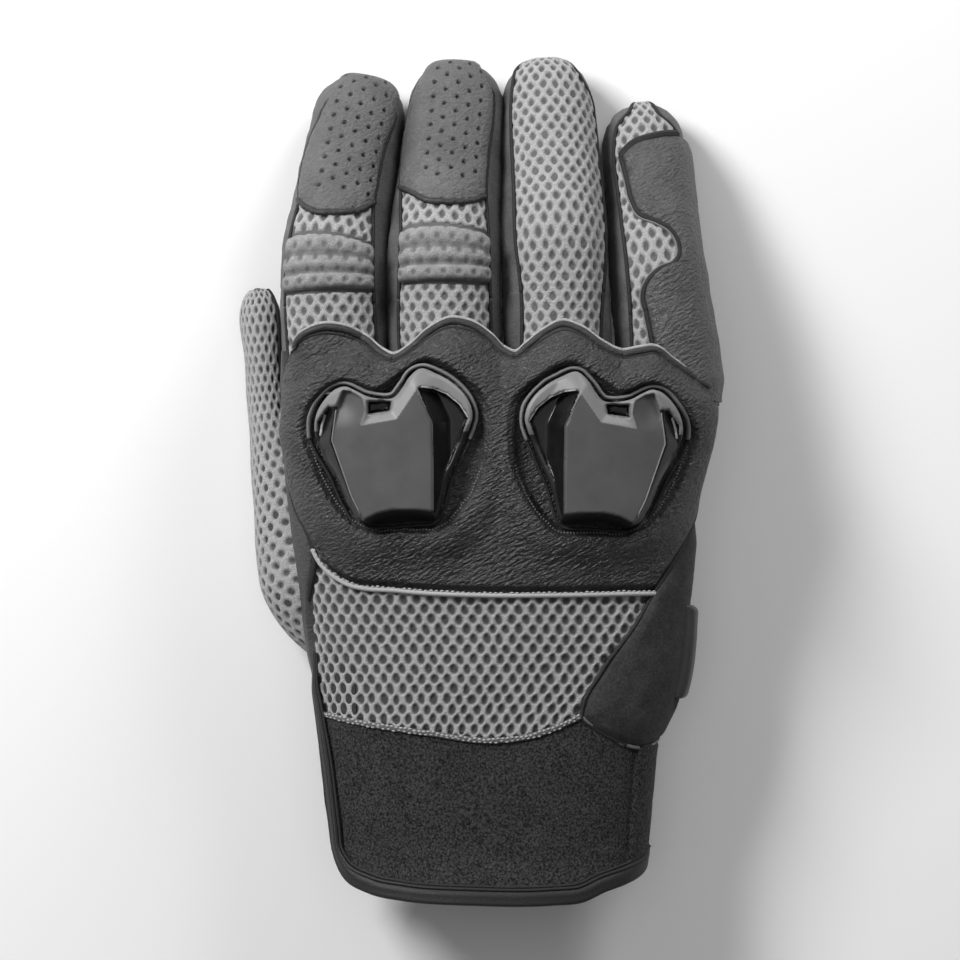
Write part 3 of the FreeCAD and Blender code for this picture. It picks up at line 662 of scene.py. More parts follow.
def leather_material(name, shade, rough, grain, depth, dark=12, crease=0.3):
    """Grained leather: fine wrinkles in changing directions, pores and slow changes of tone, with the wrinkle
    lines painted lighter as painted highlight.
    """
    tree, bsdf = shader(name, grey(shade), rough, Specular_IOR_Level=0.55)
    where = place(tree)
    wrinkles = noise(tree, place(tree, (0.55, 1.5, 1.0)), grain * 0.62, 4.0, 0.6)
    cross = noise(tree, place(tree, (1.2, 0.7, 1.0)), grain * 0.8, 3.0, 0.6)
    pebbles = cells(tree, where, grain * 1.25)
    creases = noise(tree, place(tree, (0.42, 1.3, 0.8), 0.5), 1.0, 1.5, 0.5)
    slow = noise(tree, where, 0.09, 3.0)
    ridge = node(tree, "ShaderNodeMath", operation="PINGPONG")
    tree.links.new(sums(tree, wrinkles, cross, 0.5), ridge.inputs[0])
    ridge.inputs[1].default_value = 0.11
    lines = ridge.outputs[0]
    # tone lightens the wrinkle lines: painted highlight along them.
    tone = sums(tree, sums(tree, slow, pebbles, 0.2), lines, 2.2)
    colour = ramp(tree, tone, 0.4, 1.0, grey(max(shade - 12, 3)), grey(shade + 17))
    tree.links.new(painted(tree, colour, grey(dark)), bsdf.inputs["Base Color"])
    height = sums(tree, sums(tree, sums(tree, lines, wrinkles, 0.5), pebbles, 0.14), creases, crease)
    raise_by(tree, bsdf, height, depth * 5.0, 0.9)
    gloss = ramp(tree, slow, 0.3, 0.7, (rough - 0.06,) * 3, (rough + 0.08,) * 3)
    tree.links.new(gloss, bsdf.inputs["Roughness"])


def suede_material(name, shade):
    """Napped leather: short fibres, brushed light and dark."""
    tree, bsdf = shader(name, grey(shade), 0.96, Specular_IOR_Level=0.1, Sheen_Weight=0.08)
    where = place(tree)
    nap = noise(tree, where, 1.3, 6.0, 0.85)
    brushed = noise(tree, where, 0.22, 4.0)
    colour = ramp(tree, sums(tree, nap, brushed, 0.3), 0.4, 0.9, grey(shade - 20), grey(shade + 28))
    tree.links.new(painted(tree, colour, grey(14)), bsdf.inputs["Base Color"])
    raise_by(tree, bsdf, nap, 0.2, 0.8)


def knit_material(name, shade, pitch=0.55):
    """Fine jersey face: columns of small loops."""
    tree, bsdf = shader(name, grey(shade), 0.93, Specular_IOR_Level=0.12, Sheen_Weight=0.05)
    where = place(tree)
    loops = cells(tree, place(tree, (1.0 / pitch, 0.7 / pitch, 1.0 / pitch)), 1.0)
    fuzz = noise(tree, where, 1.5, 5.0, 0.8)
    slow = noise(tree, where, 0.12, 4.0)
    tone = sums(tree, sums(tree, fuzz, loops, -0.12), slow, 0.08)
    colour = ramp(tree, tone, 0.38, 0.6, grey(shade - 24), grey(shade + 32))
    tree.links.new(painted(tree, colour, grey(16)), bsdf.inputs["Base Color"])
    raise_by(tree, bsdf, sums(tree, fuzz, loops, -0.8), 0.22, 0.9)


def tape_material(name, shade, rough):
    """Woven tape and sewing thread: close ribs."""
    tree, bsdf = shader(name, grey(shade), rough, Specular_IOR_Level=0.25)
    where = place(tree)
    ribs = node(tree, "ShaderNodeTexWave", Scale=0.55, Distortion=1.5, Detail=2.0)
    tree.links.new(where, ribs.inputs["Vector"])
    fuzz = noise(tree, where, 2.4, 4.0, 0.7)
    tone = sums(tree, fuzz, ribs.outputs["Fac"], 0.2)
    tree.links.new(ramp(tree, tone, 0.3, 0.9, grey(shade - 12), grey(shade + 16)), bsdf.inputs["Base Color"])
    raise_by(tree, bsdf, tone, 0.14, 0.8)


def plastic_material(name, shade, rough, texture=0.03):
    """Moulded plastic with a faint spark texture and handling marks."""
    tree, bsdf = shader(name, grey(shade), rough, Specular_IOR_Level=0.35)
    where = place(tree)
    spark = noise(tree, where, 4.5, 2.0, 0.6)
    slow = noise(tree, where, 0.15, 4.0)
    colour = ramp(tree, sums(tree, slow, spark, 0.2), 0.3, 0.9, grey(max(shade - 5, 2)), grey(shade + 7))
    tree.links.new(colour, bsdf.inputs["Base Color"])
    tree.links.new(ramp(tree, slow, 0.3, 0.75, (rough,) * 3, (rough + 0.1,) * 3), bsdf.inputs["Roughness"])
    raise_by(tree, bsdf, spark, texture, 0.6)


def hook_material(name, shade, scale):
    """Hook-and-loop tape: rows of tiny stubs or a fuzzy pile."""
    tree, bsdf = shader(name, grey(shade), 0.9, Specular_IOR_Level=0.15)
    where = place(tree)
    stubs = cells(tree, where, scale)
    tree.links.new(ramp(tree, stubs, 0.1, 0.6, grey(shade + 22), grey(shade - 12)), bsdf.inputs["Base Color"])
    raise_by(tree, bsdf, stubs, -0.4, 1.0)


MATERIALS = {}
air_mesh_material("air_mesh", 165, 74)
# Same knit with paler holes, for the fingers and the thumb; on the thumb it is also painted light, standing
# in for its lit side.
air_mesh_material("air_mesh_light", 164, 90)
leather_material("leather_tip", 80, 0.42, grain=1.3, depth=0.18, dark=2, crease=0.5)
leather_material("leather_knuckle", 43, 0.36, grain=1.0, depth=0.22, crease=1.0)
# The little finger's leather: the knuckle leather painted lighter, as painted highlight.
leather_material("leather_finger", 64, 0.4, grain=1.0, depth=0.2, crease=0.8)
leather_material("leather_side", 50, 0.55, grain=1.2, depth=0.15)
# The fingers' side leather: the side band's leather painted lighter, as painted light on the fingers' lit
# sides.
leather_material("fourchette", 80, 0.6, grain=1.4, depth=0.12)
leather_material("leather_bead", 30, 0.5, grain=1.4, depth=0.12)
# Near-black seam rods: real dark seams, and also painted shade in the gaps and grooves between panels.
leather_material("dark_seam_and_shade", 15, 0.7, grain=1.4, depth=0.12)
suede_material("suede", 47)
suede_material("palm_suede", 48)
knit_material("neoprene", 40)
knit_material("lining", 38, 0.8)
tape_material("binding", 34, 0.45)
tape_material("piping", 165, 0.75)
tape_material("overlock", 160, 0.8)
tape_material("welt", 118, 0.6)
tape_material("seam_edge", 92, 0.8)
tape_material("thread", 26, 0.6)
tape_material("thread_light", 110, 0.6)
plastic_material("guard_crown", 76, 0.42)
# The band's plastic is painted lighter than the crown's, as painted highlight on a chamfer that also tilts
# toward the light.
plastic_material("guard_band_lit", 118, 0.38)
plastic_material("guard_gloss", 16, 0.22, texture=0.006)
# Dark copy of the guard plastic for the low rim, the undercut and the walls: painted shade.
plastic_material("guard_in_shade", 40, 0.3, texture=0.01)
# Near-white plastic for thin edge beads: painted highlights.
plastic_material("guard_highlight", 170, 0.3, texture=0.01)
plastic_material("slider_rubber", 62, 0.4)
hook_material("hook_tape", 30, 0.9)
hook_material("loop_tape", 36, 1.6)


# ---------------------------------------------------------------- hand panels
# Outlines seen from above, x and y.
HALF_GIRTH = HAND.girth / 2


def plan(form, points):
    """Points given from above, as millimetres round and along a form."""
    found = form.locate(points)
    return np.stack([found[:, 0] * form.girth / 2, found[:, 1]], 1)


def patch(form, bottom, top, left, right, spacing):
    """Grid of q and s between four lines, each in millimetres round and along the form."""
    def length(line):
        """Length of a boundary line."""
        return np.linalg.norm(np.diff(np.asarray(line), axis=0), axis=1).sum()
    columns = int(max(length(bottom), length(top)) / spacing) + 2
    rows = int(max(length(left), length(right)) / spacing) + 2
    grid = coons(bottom, top, left, right, columns, rows)
    return grid[..., 0] * 2 / form.girth, grid[..., 1]


def border(shape, spacing):
    """Rough distance of every grid point to the grid's edge."""
    rows, columns = shape
    r = np.minimum(np.arange(rows), rows - 1 - np.arange(rows))[:, None]
    c = np.minimum(np.arange(columns), columns - 1 - np.arange(columns))[None, :]
    return np.minimum(r, c) * spacing


CUFF_SEAM = [(-43.9, -66.2), (-31.0, -68.6), (-14.3, -71.4), (2.5, -73.4), (13.7, -72.2),
             (22.1, -69.2), (28.0, -66.6)]
SUEDE_EDGE = [(28.0, -66.0), (28.8, -61.6), (33.3, -53.8), (44.0, -39.2), (48.7, -31.0)]
PIPING = [(-46.2, -18.6), (-44.2, -22.4), (-38.1, -27.4), (-22.7, -30.2), (-0.3, -31.4), (22.1, -31.4),
          (44.5, -30.8), (48.7, -30.8)]
MESH_LEFT = [(-43.9, -66.2), (-45.6, -58.8), (-47.0, -47.6), (-47.8, -33.6), (-46.2, -18.6)]
PANEL_LEFT = [(-46.2, -18.6), (-47.4, -15.4), (-51.5, -7.3), (-53.9, 3.6), (-54.5, 23.0)]
PANEL_RIGHT = [(48.7, -30.8), (52.9, -23.8), (58.2, -14.0), (60.8, -5.6), (64.4, 11.2), (66.0, 21.6)]
SPLIT_LINE = [(-54.5, 23.0), (5.0, 24.0), (66.0, 21.6)]
WAVY_EDGE = [(-54.6, 37.0), (-50.7, 40.6), (-43.7, 42.6), (-38.1, 42.0), (-32.5, 39.2), (-28.3, 35.8),
             (-24.6, 34.2), (-19.9, 36.4), (-14.3, 41.4), (-8.7, 44.2), (-3.1, 43.4), (2.5, 39.8),
             (6.7, 35.8), (9.5, 35.0), (12.9, 37.2), (17.9, 41.4), (22.7, 43.4), (27.7, 42.0),
             (33.3, 37.8), (39.5, 35.0), (44.5, 35.8), (48.7, 36.4), (54.3, 32.8), (61.3, 28.0), (66.0, 24.6)]
WEBS = (-24.6, 9.5, 39.5)  # x between one finger and the next

GUARD_MIRROR = 4.9         # x half way between the two guards
GUARD_DROP = 0.9           # the little-finger guard sits this much lower
BEZEL = [(-15.4, 32.7), (-7.1, 29.0), (0.4, 21.6), (1.3, 16.0), (-7.1, -9.1), (-10.8, -12.6), (-21.5, -13.4),
         (-31.2, -13.2), (-34.0, -11.6), (-46.5, 9.5), (-47.9, 14.1), (-46.5, 19.7), (-37.7, 27.1),
         (-28.4, 24.6), (-22.4, 28.6)]


def mirrored(points):
    """Outline of the little-finger guard from the index-side one."""
    points = np.asarray(points, float)
    return np.stack([2 * GUARD_MIRROR - points[:, 0], points[:, 1] - GUARD_DROP], 1)


def closed_curve(points, count):
    """Evenly spaced points round a smooth closed outline."""
    p = [tuple(point) for point in points]
    line = curve(p[-3:] + p + p[:4], count * 4)
    away = np.hypot(line[:, 0] - p[0][0], line[:, 1] - p[0][1])
    half = len(line) // 2
    first, last = int(np.argmin(away[:half])), half + int(np.argmin(away[half:]))
    return curve(line[first:last + 1], count + 1, False)[:-1]


BEZEL_LINE = closed_curve(BEZEL, 150)
BEZEL_LINES = [BEZEL_LINE, mirrored(BEZEL_LINE)[::-1]]
RING_HIGH = 2.7            # how much the padding swells round the guards
CREASE_ALONG = (math.cos(0.5), math.sin(0.5))      # direction of the knuckle leather's wrinkles
RECESS = -1.0              # height of the leather under the guards
LOW_PANEL_SHADE = 0.5            # how much darker the panel is painted towards the piping: painted shade where the light falls off below the guards


def knuckle_height(x, y, edge, rise):
    """Padding of the knuckle leather: full round the guards, tucked in at its seams and thin where
    the hand turns over, with rise the upward share of the normal."""
    h = 0.9 + 0.22 * value_noise(x, y, 11.0, 3) + 0.12 * value_noise(x, y, 4.5, 4)
    ring = np.zeros_like(x)
    recess = np.zeros_like(x)
    for line in BEZEL_LINES:
        d = distance_to_line(x, y, line, True)
        within = inside(x, y, line)
        swell = smooth(d / 1.3) * np.exp(-(np.maximum(d - 2.6, 0) / 6.0) ** 2)
        ring = np.maximum(ring, np.where(within, 0, swell))
        recess = np.maximum(recess, np.where(within, smooth(d / 1.2), 0))
    h = h + RING_HIGH * ring + (RECESS - h) * recess
    along = x * CREASE_ALONG[0] + y * CREASE_ALONG[1]
    across = y * CREASE_ALONG[0] - x * CREASE_ALONG[1]
    strength = 0.05 + 0.06 * smooth((y + 5.0) / 30.0) + 0.03 * value_noise(x, y, 14.0, 11)
    creases = value_noise(along * 0.35, across, 0.9, 9) * strength
    h = h + creases * smooth(edge / 3) * (1 - recess)
    return h * (0.2 + 0.8 * smooth(rise / 0.55)) - 1.5 * (1 - smooth(edge / 3.2)) ** 2


def build_knuckle_panel():
    """Padded leather over the knuckles, sunk under the guards, with its seams."""
    bottom, top = plan(HAND, PIPING), plan(HAND, SPLIT_LINE)
    spacing = 0.45
    q, s = patch(HAND, bottom, top, plan(HAND, PANEL_LEFT), plan(HAND, PANEL_RIGHT), spacing)
    at = HAND.at(q, s)
    x, y = at[..., 0], at[..., 1]
    rows, columns = q.shape
    c = np.minimum(np.arange(columns), columns - 1 - np.arange(columns))[None, :] * spacing
    r = (np.arange(rows) * spacing)[:, None]
    open_top = np.minimum(np.broadcast_to(c, q.shape), np.broadcast_to(r, q.shape))
    h = knuckle_height(x, y, open_top, HAND.normal(q, s)[..., 2])
    # The panel's lower part is painted darker through its detail: painted shade.
    shade = LOW_PANEL_SHADE * smooth((-8.0 - y) / 14.0)
    parts = [sheet_part(HAND, q, s, h, "leather_knuckle", shade, thick=1.6)]
    # Near-black rods along the panel's side seams: painted shade in the gaps beside the panel.
    for line in (PANEL_LEFT, PANEL_RIGHT):
        p, n = line_on(HAND, plan(HAND, line), 120, 0.25)
        parts.append(rod_part(p, n, 0.7, 0.6, "dark_seam_and_shade"))
    for bezel in BEZEL_LINES:
        p, n = outline_on_hand(bezel, 1.1)
        parts.append(stitches_part(offset_line(p, n, 1.0), n, "thread",
                                   pitch=1.9, length=1.3, radius=0.3, lift=0.45))
    p, n = line_on(HAND, plan(HAND, PIPING), 220, 1.0)
    parts.append(stitches_part(offset_line(p, n, 1.8), n, "thread",
                               pitch=2.2, length=1.4, radius=0.25, lift=-0.1))
    panel = add("knuckle_leather_panel", parts, "leather", "hand",
                "knuckle_leather_panel", "knuckle_foam_pads")


def outline_on_hand(outline, h):
    """Points and normals on the hand along an outline seen from above."""
    q, s = HAND.locate(outline).T
    return HAND.at(q, s, h), HAND.normal(q, s)


def offset_line(points, normal, by):
    """Line moved sideways along its surface."""
    ahead = unit(np.gradient(points, axis=0))
    return points + np.cross(normal, ahead) * by


# y where a finger begins and stops bending, at its knuckle and at its middle joint.
KNUCKLE_ZONE = {"index": (26.0, 48.0), "middle": (26.0, 50.0), "ring": (26.0, 50.0), "pinky": (22.0, 46.0)}
MIDDLE_ZONE = {"index": (50.0, 74.0), "middle": (52.0, 76.0), "ring": (55.0, 81.0), "pinky": (49.0, 74.0)}


def zone(name, reach, which="knuckle"):
    """Start and end points, in metres, of the stretch where a finger bends."""
    hinge = joint(name + ("_knuckle" if which == "knuckle" else "_middle_joint"))
    other = joint(name + "_middle_joint") if which == "knuckle" else np.array(FINGERS[name]["tip"])
    along = unit(other - hinge)
    along = unit(np.array([along[0], along[1], 0.0])) if which == "knuckle" else along
    low, high = reach
    t0, t1 = (low - hinge[1]) / along[1], (high - hinge[1]) / along[1]
    return tuple((hinge + along * t0) * MM), tuple((hinge + along * t1) * MM)


def bend_at_knuckle(obj, name):
    """Bake a piece's placement into its mesh; the stretch of the knuckle where it would bend is worked out
    but not used.
    """
    start, end = zone(name, KNUCKLE_ZONE[name])
    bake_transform(obj)


def bend_at_middle(obj, name):
    """Bake a piece's placement into its mesh; the stretch of the middle joint where it would bend is worked
    out but not used.
    """
    start, end = zone(name, MIDDLE_ZONE[name], "middle")
    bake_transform(obj)


def finger_top(name, x, y):
    """Height of a finger's upper side over the floor, or 0 beside it."""
    form = FORMS[name]
    cx, cz = (np.interp(y, form.centre[:, 1], form.centre[:, k]) for k in (0, 2))
    wide = np.interp(y, form.centre[:, 1], form.wide + 0.5)
    high = np.interp(y, form.centre[:, 1], form.high)
    part = np.minimum(np.abs(x - cx) / wide, 1)
    return np.where(part < 1, cz + high * (1 - part ** form.n) ** (1 / form.n), 0)


def build_knuckle_lobes():
    """The panel's front lobes, one over each finger's root, with their bound edge."""
    bottom, top = plan(HAND, SPLIT_LINE), plan(HAND, WAVY_EDGE)
    left = plan(HAND, [(-54.5, 23.0), (-54.6, 30.0), (-54.6, 37.0)])
    right = plan(HAND, [(66.0, 21.6), (66.0, 23.0), (66.0, 24.6)])
    q, s = patch(HAND, bottom, top, left, right, FINE)
    at = HAND.at(q, s)
    x, y = at[..., 0], at[..., 1]
    columns = q.shape[1]
    side = np.minimum(np.arange(columns), columns - 1 - np.arange(columns))[None, :] * 0.5
    front = distance_to_line(x, y, curve(WAVY_EDGE, 160))
    edge = np.minimum(front, np.broadcast_to(side, q.shape) + 1.4)
    h = knuckle_height(x, y, edge, HAND.normal(q, s)[..., 2]) - 2.0 * (1 - smooth(front / 9.0))
    points = HAND.at(q, s, h)
    for name in FINGERS:
        top_z = finger_top(name, points[..., 0], points[..., 1])
        rest = np.minimum(smooth((points[..., 1] - 22.0) / 6.0), 1)
        points[..., 2] = np.maximum(points[..., 2], np.where(top_z > 0, points[..., 2] * (1 - rest)
                                                              + (top_z + 0.5) * rest, 0))
    normals = HAND.normal(q, s)
    cuts = [0] + [int(np.argmin(np.abs(x[-1] - web))) for web in WEBS] + [columns - 1]
    for name, a, b in zip(FINGERS, cuts, cuts[1:]):
        part = slice(a, b + 1)
        parts = [surface_part(points[:, part], normals[:, part], "leather_knuckle", thick=1.8)]
        up = normals[-1, part]
        parts.append(rod_part(points[-1, part] + up * 0.1, up, 1.0, 0.85, "leather_bead"))
        parts.append(rod_part(points[-4, part], up, 0.35, 0.3, "dark_seam_and_shade"))
        front = points[-1, part] + up * -0.7 + [0.0, 1.25, 0.0]
        parts.append(rod_part(front, up, 0.55, 0.5, "air_mesh_light"))
        lobe = piece("knuckle_lobe_" + name, parts)
        bend_at_knuckle(lobe, name)


def build_back_mesh():
    """Air mesh on the back of the hand, its overlocked lower edge and the piping above it."""
    q, s = patch(HAND, plan(HAND, CUFF_SEAM), plan(HAND, PIPING), plan(HAND, MESH_LEFT),
                 plan(HAND, SUEDE_EDGE), FINE)
    u = q * HALF_GIRTH
    holes = mesh_holes(u, s)
    h = -MESH_DEPTH * holes + 0.3 * value_noise(u, s, 14.0, 5) - 0.3
    h = h - 0.7 * (1 - smooth(border(q.shape, FINE) / 1.6))
    parts = [sheet_part(HAND, q, s, h, "air_mesh", holes, thick=0.8)]
    p, n = line_on(HAND, plan(HAND, CUFF_SEAM), 200, 0.35)
    p = offset_line(p, n, 0.6)
    parts.append(rod_part(p, n, 0.8, 0.5, "seam_edge"))
    parts.append(stitches_part(offset_line(p, n, 0.35), n, "overlock",
                               pitch=1.3, length=0.95, radius=0.34, lift=0.4, loose=0.25))
    parts.append(stitches_part(offset_line(p, n, -0.4), n, "overlock",
                               pitch=1.5, length=1.0, radius=0.3, lift=0.3, loose=0.25))
    add("back_mesh_panel", parts, "air_mesh", "hand", "back_mesh_panel")
    p, n = line_on(HAND, plan(HAND, PIPING), 240, 0.35)
    p = offset_line(p, n, -0.9)
    parts = [rod_part(p, n, 0.65, 0.6, "piping")]
    parts.append(stitches_part(offset_line(p, n, 0.7), n, "piping",
                               pitch=1.5, length=1.1, radius=0.28, lift=0.2, loose=0.2))
    add("seam_piping", parts, "piping", "hand", "seam_piping")


SUEDE_BOTTOM = [(28.0, -66.0), (31.4, -69.2), (36.1, -72.0), (40.6, -74.1), (45.5, -75.0)]


def build_suede_patch():
    """Suede on the little-finger side, down to the cuff."""
    left = plan(HAND, SUEDE_EDGE)
    bottom = plan(HAND, SUEDE_BOTTOM)
    low = HALF_GIRTH * 1.06
    bottom = np.vstack([bottom, [(HALF_GIRTH * 0.97, -73.0), (low, -68.0)]])
    top = np.vstack([plan(HAND, PANEL_RIGHT[:3]), [(HALF_GIRTH * 1.02, -10.0)]])
    right = np.array([(low, -68.0), (HALF_GIRTH * 1.08, -45.0), (HALF_GIRTH * 1.06, -25.0),
                      (HALF_GIRTH * 1.02, -10.0)])
    q, s = patch(HAND, bottom, top, left, right, MEDIUM)
    u = q * HALF_GIRTH
    edge = border(q.shape, MEDIUM)
    h = 0.7 + 0.35 * value_noise(u, s, 9.0, 12) + 0.15 * value_noise(u, s, 3.5, 13)
    h = h + 0.9 * smooth(edge / 7) - 1.1 * (1 - smooth(edge / 2.0))
    parts = [sheet_part(HAND, q, s, h, "suede", thick=1.6)]
    rim_path = np.vstack([left[::-1], bottom[1:4]])
    p, n = line_on(HAND, rim_path, 200, 0.0)
    parts.append(rod_part(p, n, 0.6, 0.55, "dark_seam_and_shade"))
    p, n = line_on(HAND, bottom, 120, 0.0)
    parts.append(rod_part(p, n, 0.55, 0.5, "thread_light"))
    add("side_suede_patch", parts, "suede", "hand", "side_suede_patch")


CUFF_HEM = [(47.0, -106.0), (45.0, -109.0), (39.2, -112.7), (34.7, -114.5), (28.3, -117.0), (20.0, -118.0),
            (-2.5, -118.2), (-21.8, -117.0), (-31.4, -114.9), (-37.8, -110.6), (-40.6, -104.0)]
HEM_SHORTER = 1.6          # how much shorter the cuff is underneath


def cuff_hem(q):
    """s of the hem all round: the same on both sides, but a little shorter underneath."""
    q = np.mod(q, 2.0)
    back = plan(HAND, CUFF_HEM[::-1])
    line = curve(back, 200) / [HALF_GIRTH, 1.0]
    level = np.interp(np.minimum(q, 2.0 - q), line[:, 0], line[:, 1])
    return level + HEM_SHORTER * np.sin(math.pi * np.maximum(q - 1.0, 0.0))


def cuff_top(q):
    """s of the cuff's upper seam all round."""
    seam = np.vstack([plan(HAND, CUFF_SEAM), plan(HAND, SUEDE_BOTTOM[1:])])
    q_back = seam[:, 0] / HALF_GIRTH
    q_all = np.r_[q_back, 1.1, 1.4, 1.6, 1.9, 2.0]
    s_all = np.r_[seam[:, 1], -74.0, -70.0, -70.0, -68.0, seam[0, 1]]
    return np.interp(np.mod(q, 2.0), q_all, s_all)


SIDE_SEAM_Q = 0.885        # the cuff's side seam
BINDING_HALF = 2.1         # half width of the tape
BINDING_TIP = [0.5, 0.3, 0.0]      # the binding's inner ridge runs out past the side by this much


def build_cuff():
    """Neoprene cuff with its side seam and lining, and the binding round its hem."""
    columns, rows = 330, 56
    q = np.linspace(0, 2, columns)[None, :]
    t = np.linspace(0, 1, rows)[:, None]
    s = cuff_hem(q) * (1 - t) + (cuff_top(q) + 2.0) * t
    q = np.broadcast_to(q, s.shape)
    u = q * HALF_GIRTH
    h = 0.35 * value_noise(u, s, 16.0, 21) + 0.12 * value_noise(u, s, 5.0, 22)
    past_seam = (q - SIDE_SEAM_Q) * HALF_GIRTH
    h = h - 0.7 * np.exp(-(past_seam / 0.7) ** 2)
    h = h + 0.8 * smooth(past_seam) * smooth((1.15 - q) * HALF_GIRTH / 3)
    h = h - 1.0 * smooth((t - 0.94) / 0.06)
    inner_s = cuff_hem(q) * (1 - t) + 5.0 * t
    cuff = sheet_part(HAND, q, s, h, "neoprene", thick=1.2)
    inner_h = -2.6 + 0.5 * value_noise(u, inner_s, 12.0, 25)
    inside_part = flip(sheet_part(HAND, q, inner_s, inner_h, "lining", thick=-0.6))
    add("neoprene_cuff", [cuff], "neoprene", "hand", "neoprene_cuff")
    add("hand_lining", [inside_part], "lining", "hand", "hand_lining")
    build_cuff_binding()


def build_cuff_binding():
    """Folded tape round the hem and up the thumb-side edge of the back."""
    upright = np.array([(0.058, -97.0), (0.058, -90.0), (0.056, -81.0), (0.040, -66.0), (0.020, -55.0),
                        (0.012, -48.0)])
    path = np.vstack([plan(HAND, CUFF_HEM), upright * [HALF_GIRTH, 1.0]])[::-1]
    p, n = line_on(HAND, path, 320, 0.1)
    p = offset_line(p, n, BINDING_HALF * 0.9) - n * 1.6 * (1 - smooth(np.arange(len(p)) / 22.0))[:, None]
    tape = [(-BINDING_HALF, -2.9), (-BINDING_HALF, 0.2), (-1.5, 0.95), (0.0, 1.05), (1.3, 0.75), (1.9, 0.95),
            (2.3, 0.5), (2.4, -0.2), (0.6, -0.2), (0.4, -2.9)]
    parts = [sweep_part(p, n, tape, "binding")]
    ridge = offset_line(p, n, BINDING_HALF + 0.1) + n * 0.45
    ridge = np.vstack([ridge, ridge[-1] + BINDING_TIP])
    parts.append(rod_part(ridge, np.vstack([n, n[-1:]]), 0.55, 0.6, "binding"))
    parts.append(rod_part(offset_line(p, n, BINDING_HALF + 1.0), n, 0.4, 0.35, "dark_seam_and_shade"))
    q = np.linspace(0.98, 1.99, 260)
    s = cuff_hem(q) + BINDING_HALF * 0.9
    under = smooth((q - 0.98) / 0.05) * smooth((1.98 - q) / 0.06)
    p, n = HAND.at(q, s, 0.1 - 1.5 * (1 - under)), HAND.normal(q, s)
    parts.append(sweep_part(p, n, tape, "binding"))
    add("cuff_binding", parts, "binding", "hand", "cuff_binding")


# ---------------------------------------------------------------- knuckle guards
GUARD_TOP = 56.6           # height of the crown over the floor
GUARD_FOOT = 42.0          # where its walls end, inside the padding
GUARD_CENTRE_X = -24.1
GUARD_LEAN = math.tan(math.radians(7.0))
SHELL = [(-16.9, 31.0), (-12.5, 29.6), (-8.1, 27.1), (-4.4, 23.5), (-2.7, 20.2), (-2.4, 17.2), (-3.0, 15.2),
         (-6.6, 6.2), (-9.5, -0.4), (-11.6, -8.0), (-12.5, -10.6), (-18.3, -11.4), (-25.7, -12.0),
         (-32.4, -11.9), (-34.3, -10.9), (-36.4, -7.6), (-41.0, 2.4), (-45.1, 9.4), (-46.3, 13.6),
         (-45.8, 18.2), (-43.2, 22.7), (-40.3, 25.3), (-37.7, 26.0), (-35.2, 25.0), (-31.5, 23.2),
         (-27.9, 22.6), (-24.2, 22.9), (-22.0, 25.4), (-19.9, 28.6)]
CROWN = [(-33.7, 15.0), (-23.5, 16.9), (-17.9, 25.0), (-13.6, 15.8), (-13.4, 2.6), (-13.4, -8.8),
         (-18.3, -8.3), (-24.2, -8.3), (-28.6, -9.3), (-32.6, -11.3), (-35.9, -4.7), (-41.4, 11.0),
         (-40.3, 19.5), (-38.2, 24.9), (-36.0, 24.6), (-33.0, 23.1), (-32.2, 19.4)]
SCOOP = [(-17.6, 25.6), (-13.2, 25.3), (-9.5, 23.8), (-5.9, 20.9), (-3.6, 17.4), (-6.6, 9.2), (-10.3, 1.1),
         (-12.5, -8.8), (-13.4, -8.8), (-13.4, 2.6), (-13.6, 15.8)]
SIDE_SCOOP = [(-42.4, 20.2), (-39.9, 20.5), (-41.4, 11.0), (-35.9, -4.7), (-32.6, -11.3), (-34.1, -10.2),
              (-39.6, -0.4), (-45.2, 10.6), (-45.3, 16.0)]
UNDERCUT = [(-32.6, -11.3), (-28.6, -9.3), (-24.2, -8.3), (-18.3, -8.3), (-13.4, -8.8), (-12.6, -11.5),
            (-24.0, -13.5), (-33.5, -13.0)]
WINDOW = [(-31.2, 21.7), (-24.9, 21.9), (-25.4, 19.2), (-31.4, 18.4)]
# Thin beads along the guards' edges: the light ones are painted highlights, and the one in the crown's
# plastic only rounds an edge.
GUARD_LINES = (
    ([(-16.6, 25.9), (-13.2, 25.5), (-9.5, 24.0), (-5.9, 21.1), (-3.5, 17.3)], 0.24, "guard_highlight"),
    ([(-44.6, 12.4), (-44.2, 15.2), (-43.3, 18.2)], 0.42, "guard_highlight"),
    ([(-40.3, 19.5), (-41.4, 11.0), (-35.9, -4.7), (-32.6, -11.3)], 0.2, "guard_band_lit"),
    ([(-17.6, 24.0), (-13.5, 15.8), (-13.3, 2.6), (-13.3, -8.6)], 0.16, "guard_crown"),
)
SHADED_BELOW = 13.5        # under this the rim is dark
GUARD_STEP = 0.28          # vertex spacing
GUARD_MATERIALS = ("guard_band_lit", "guard_crown", "guard_gloss", "guard_in_shade")
BAND, TOP, GLOSS, IN_SHADE = range(4)


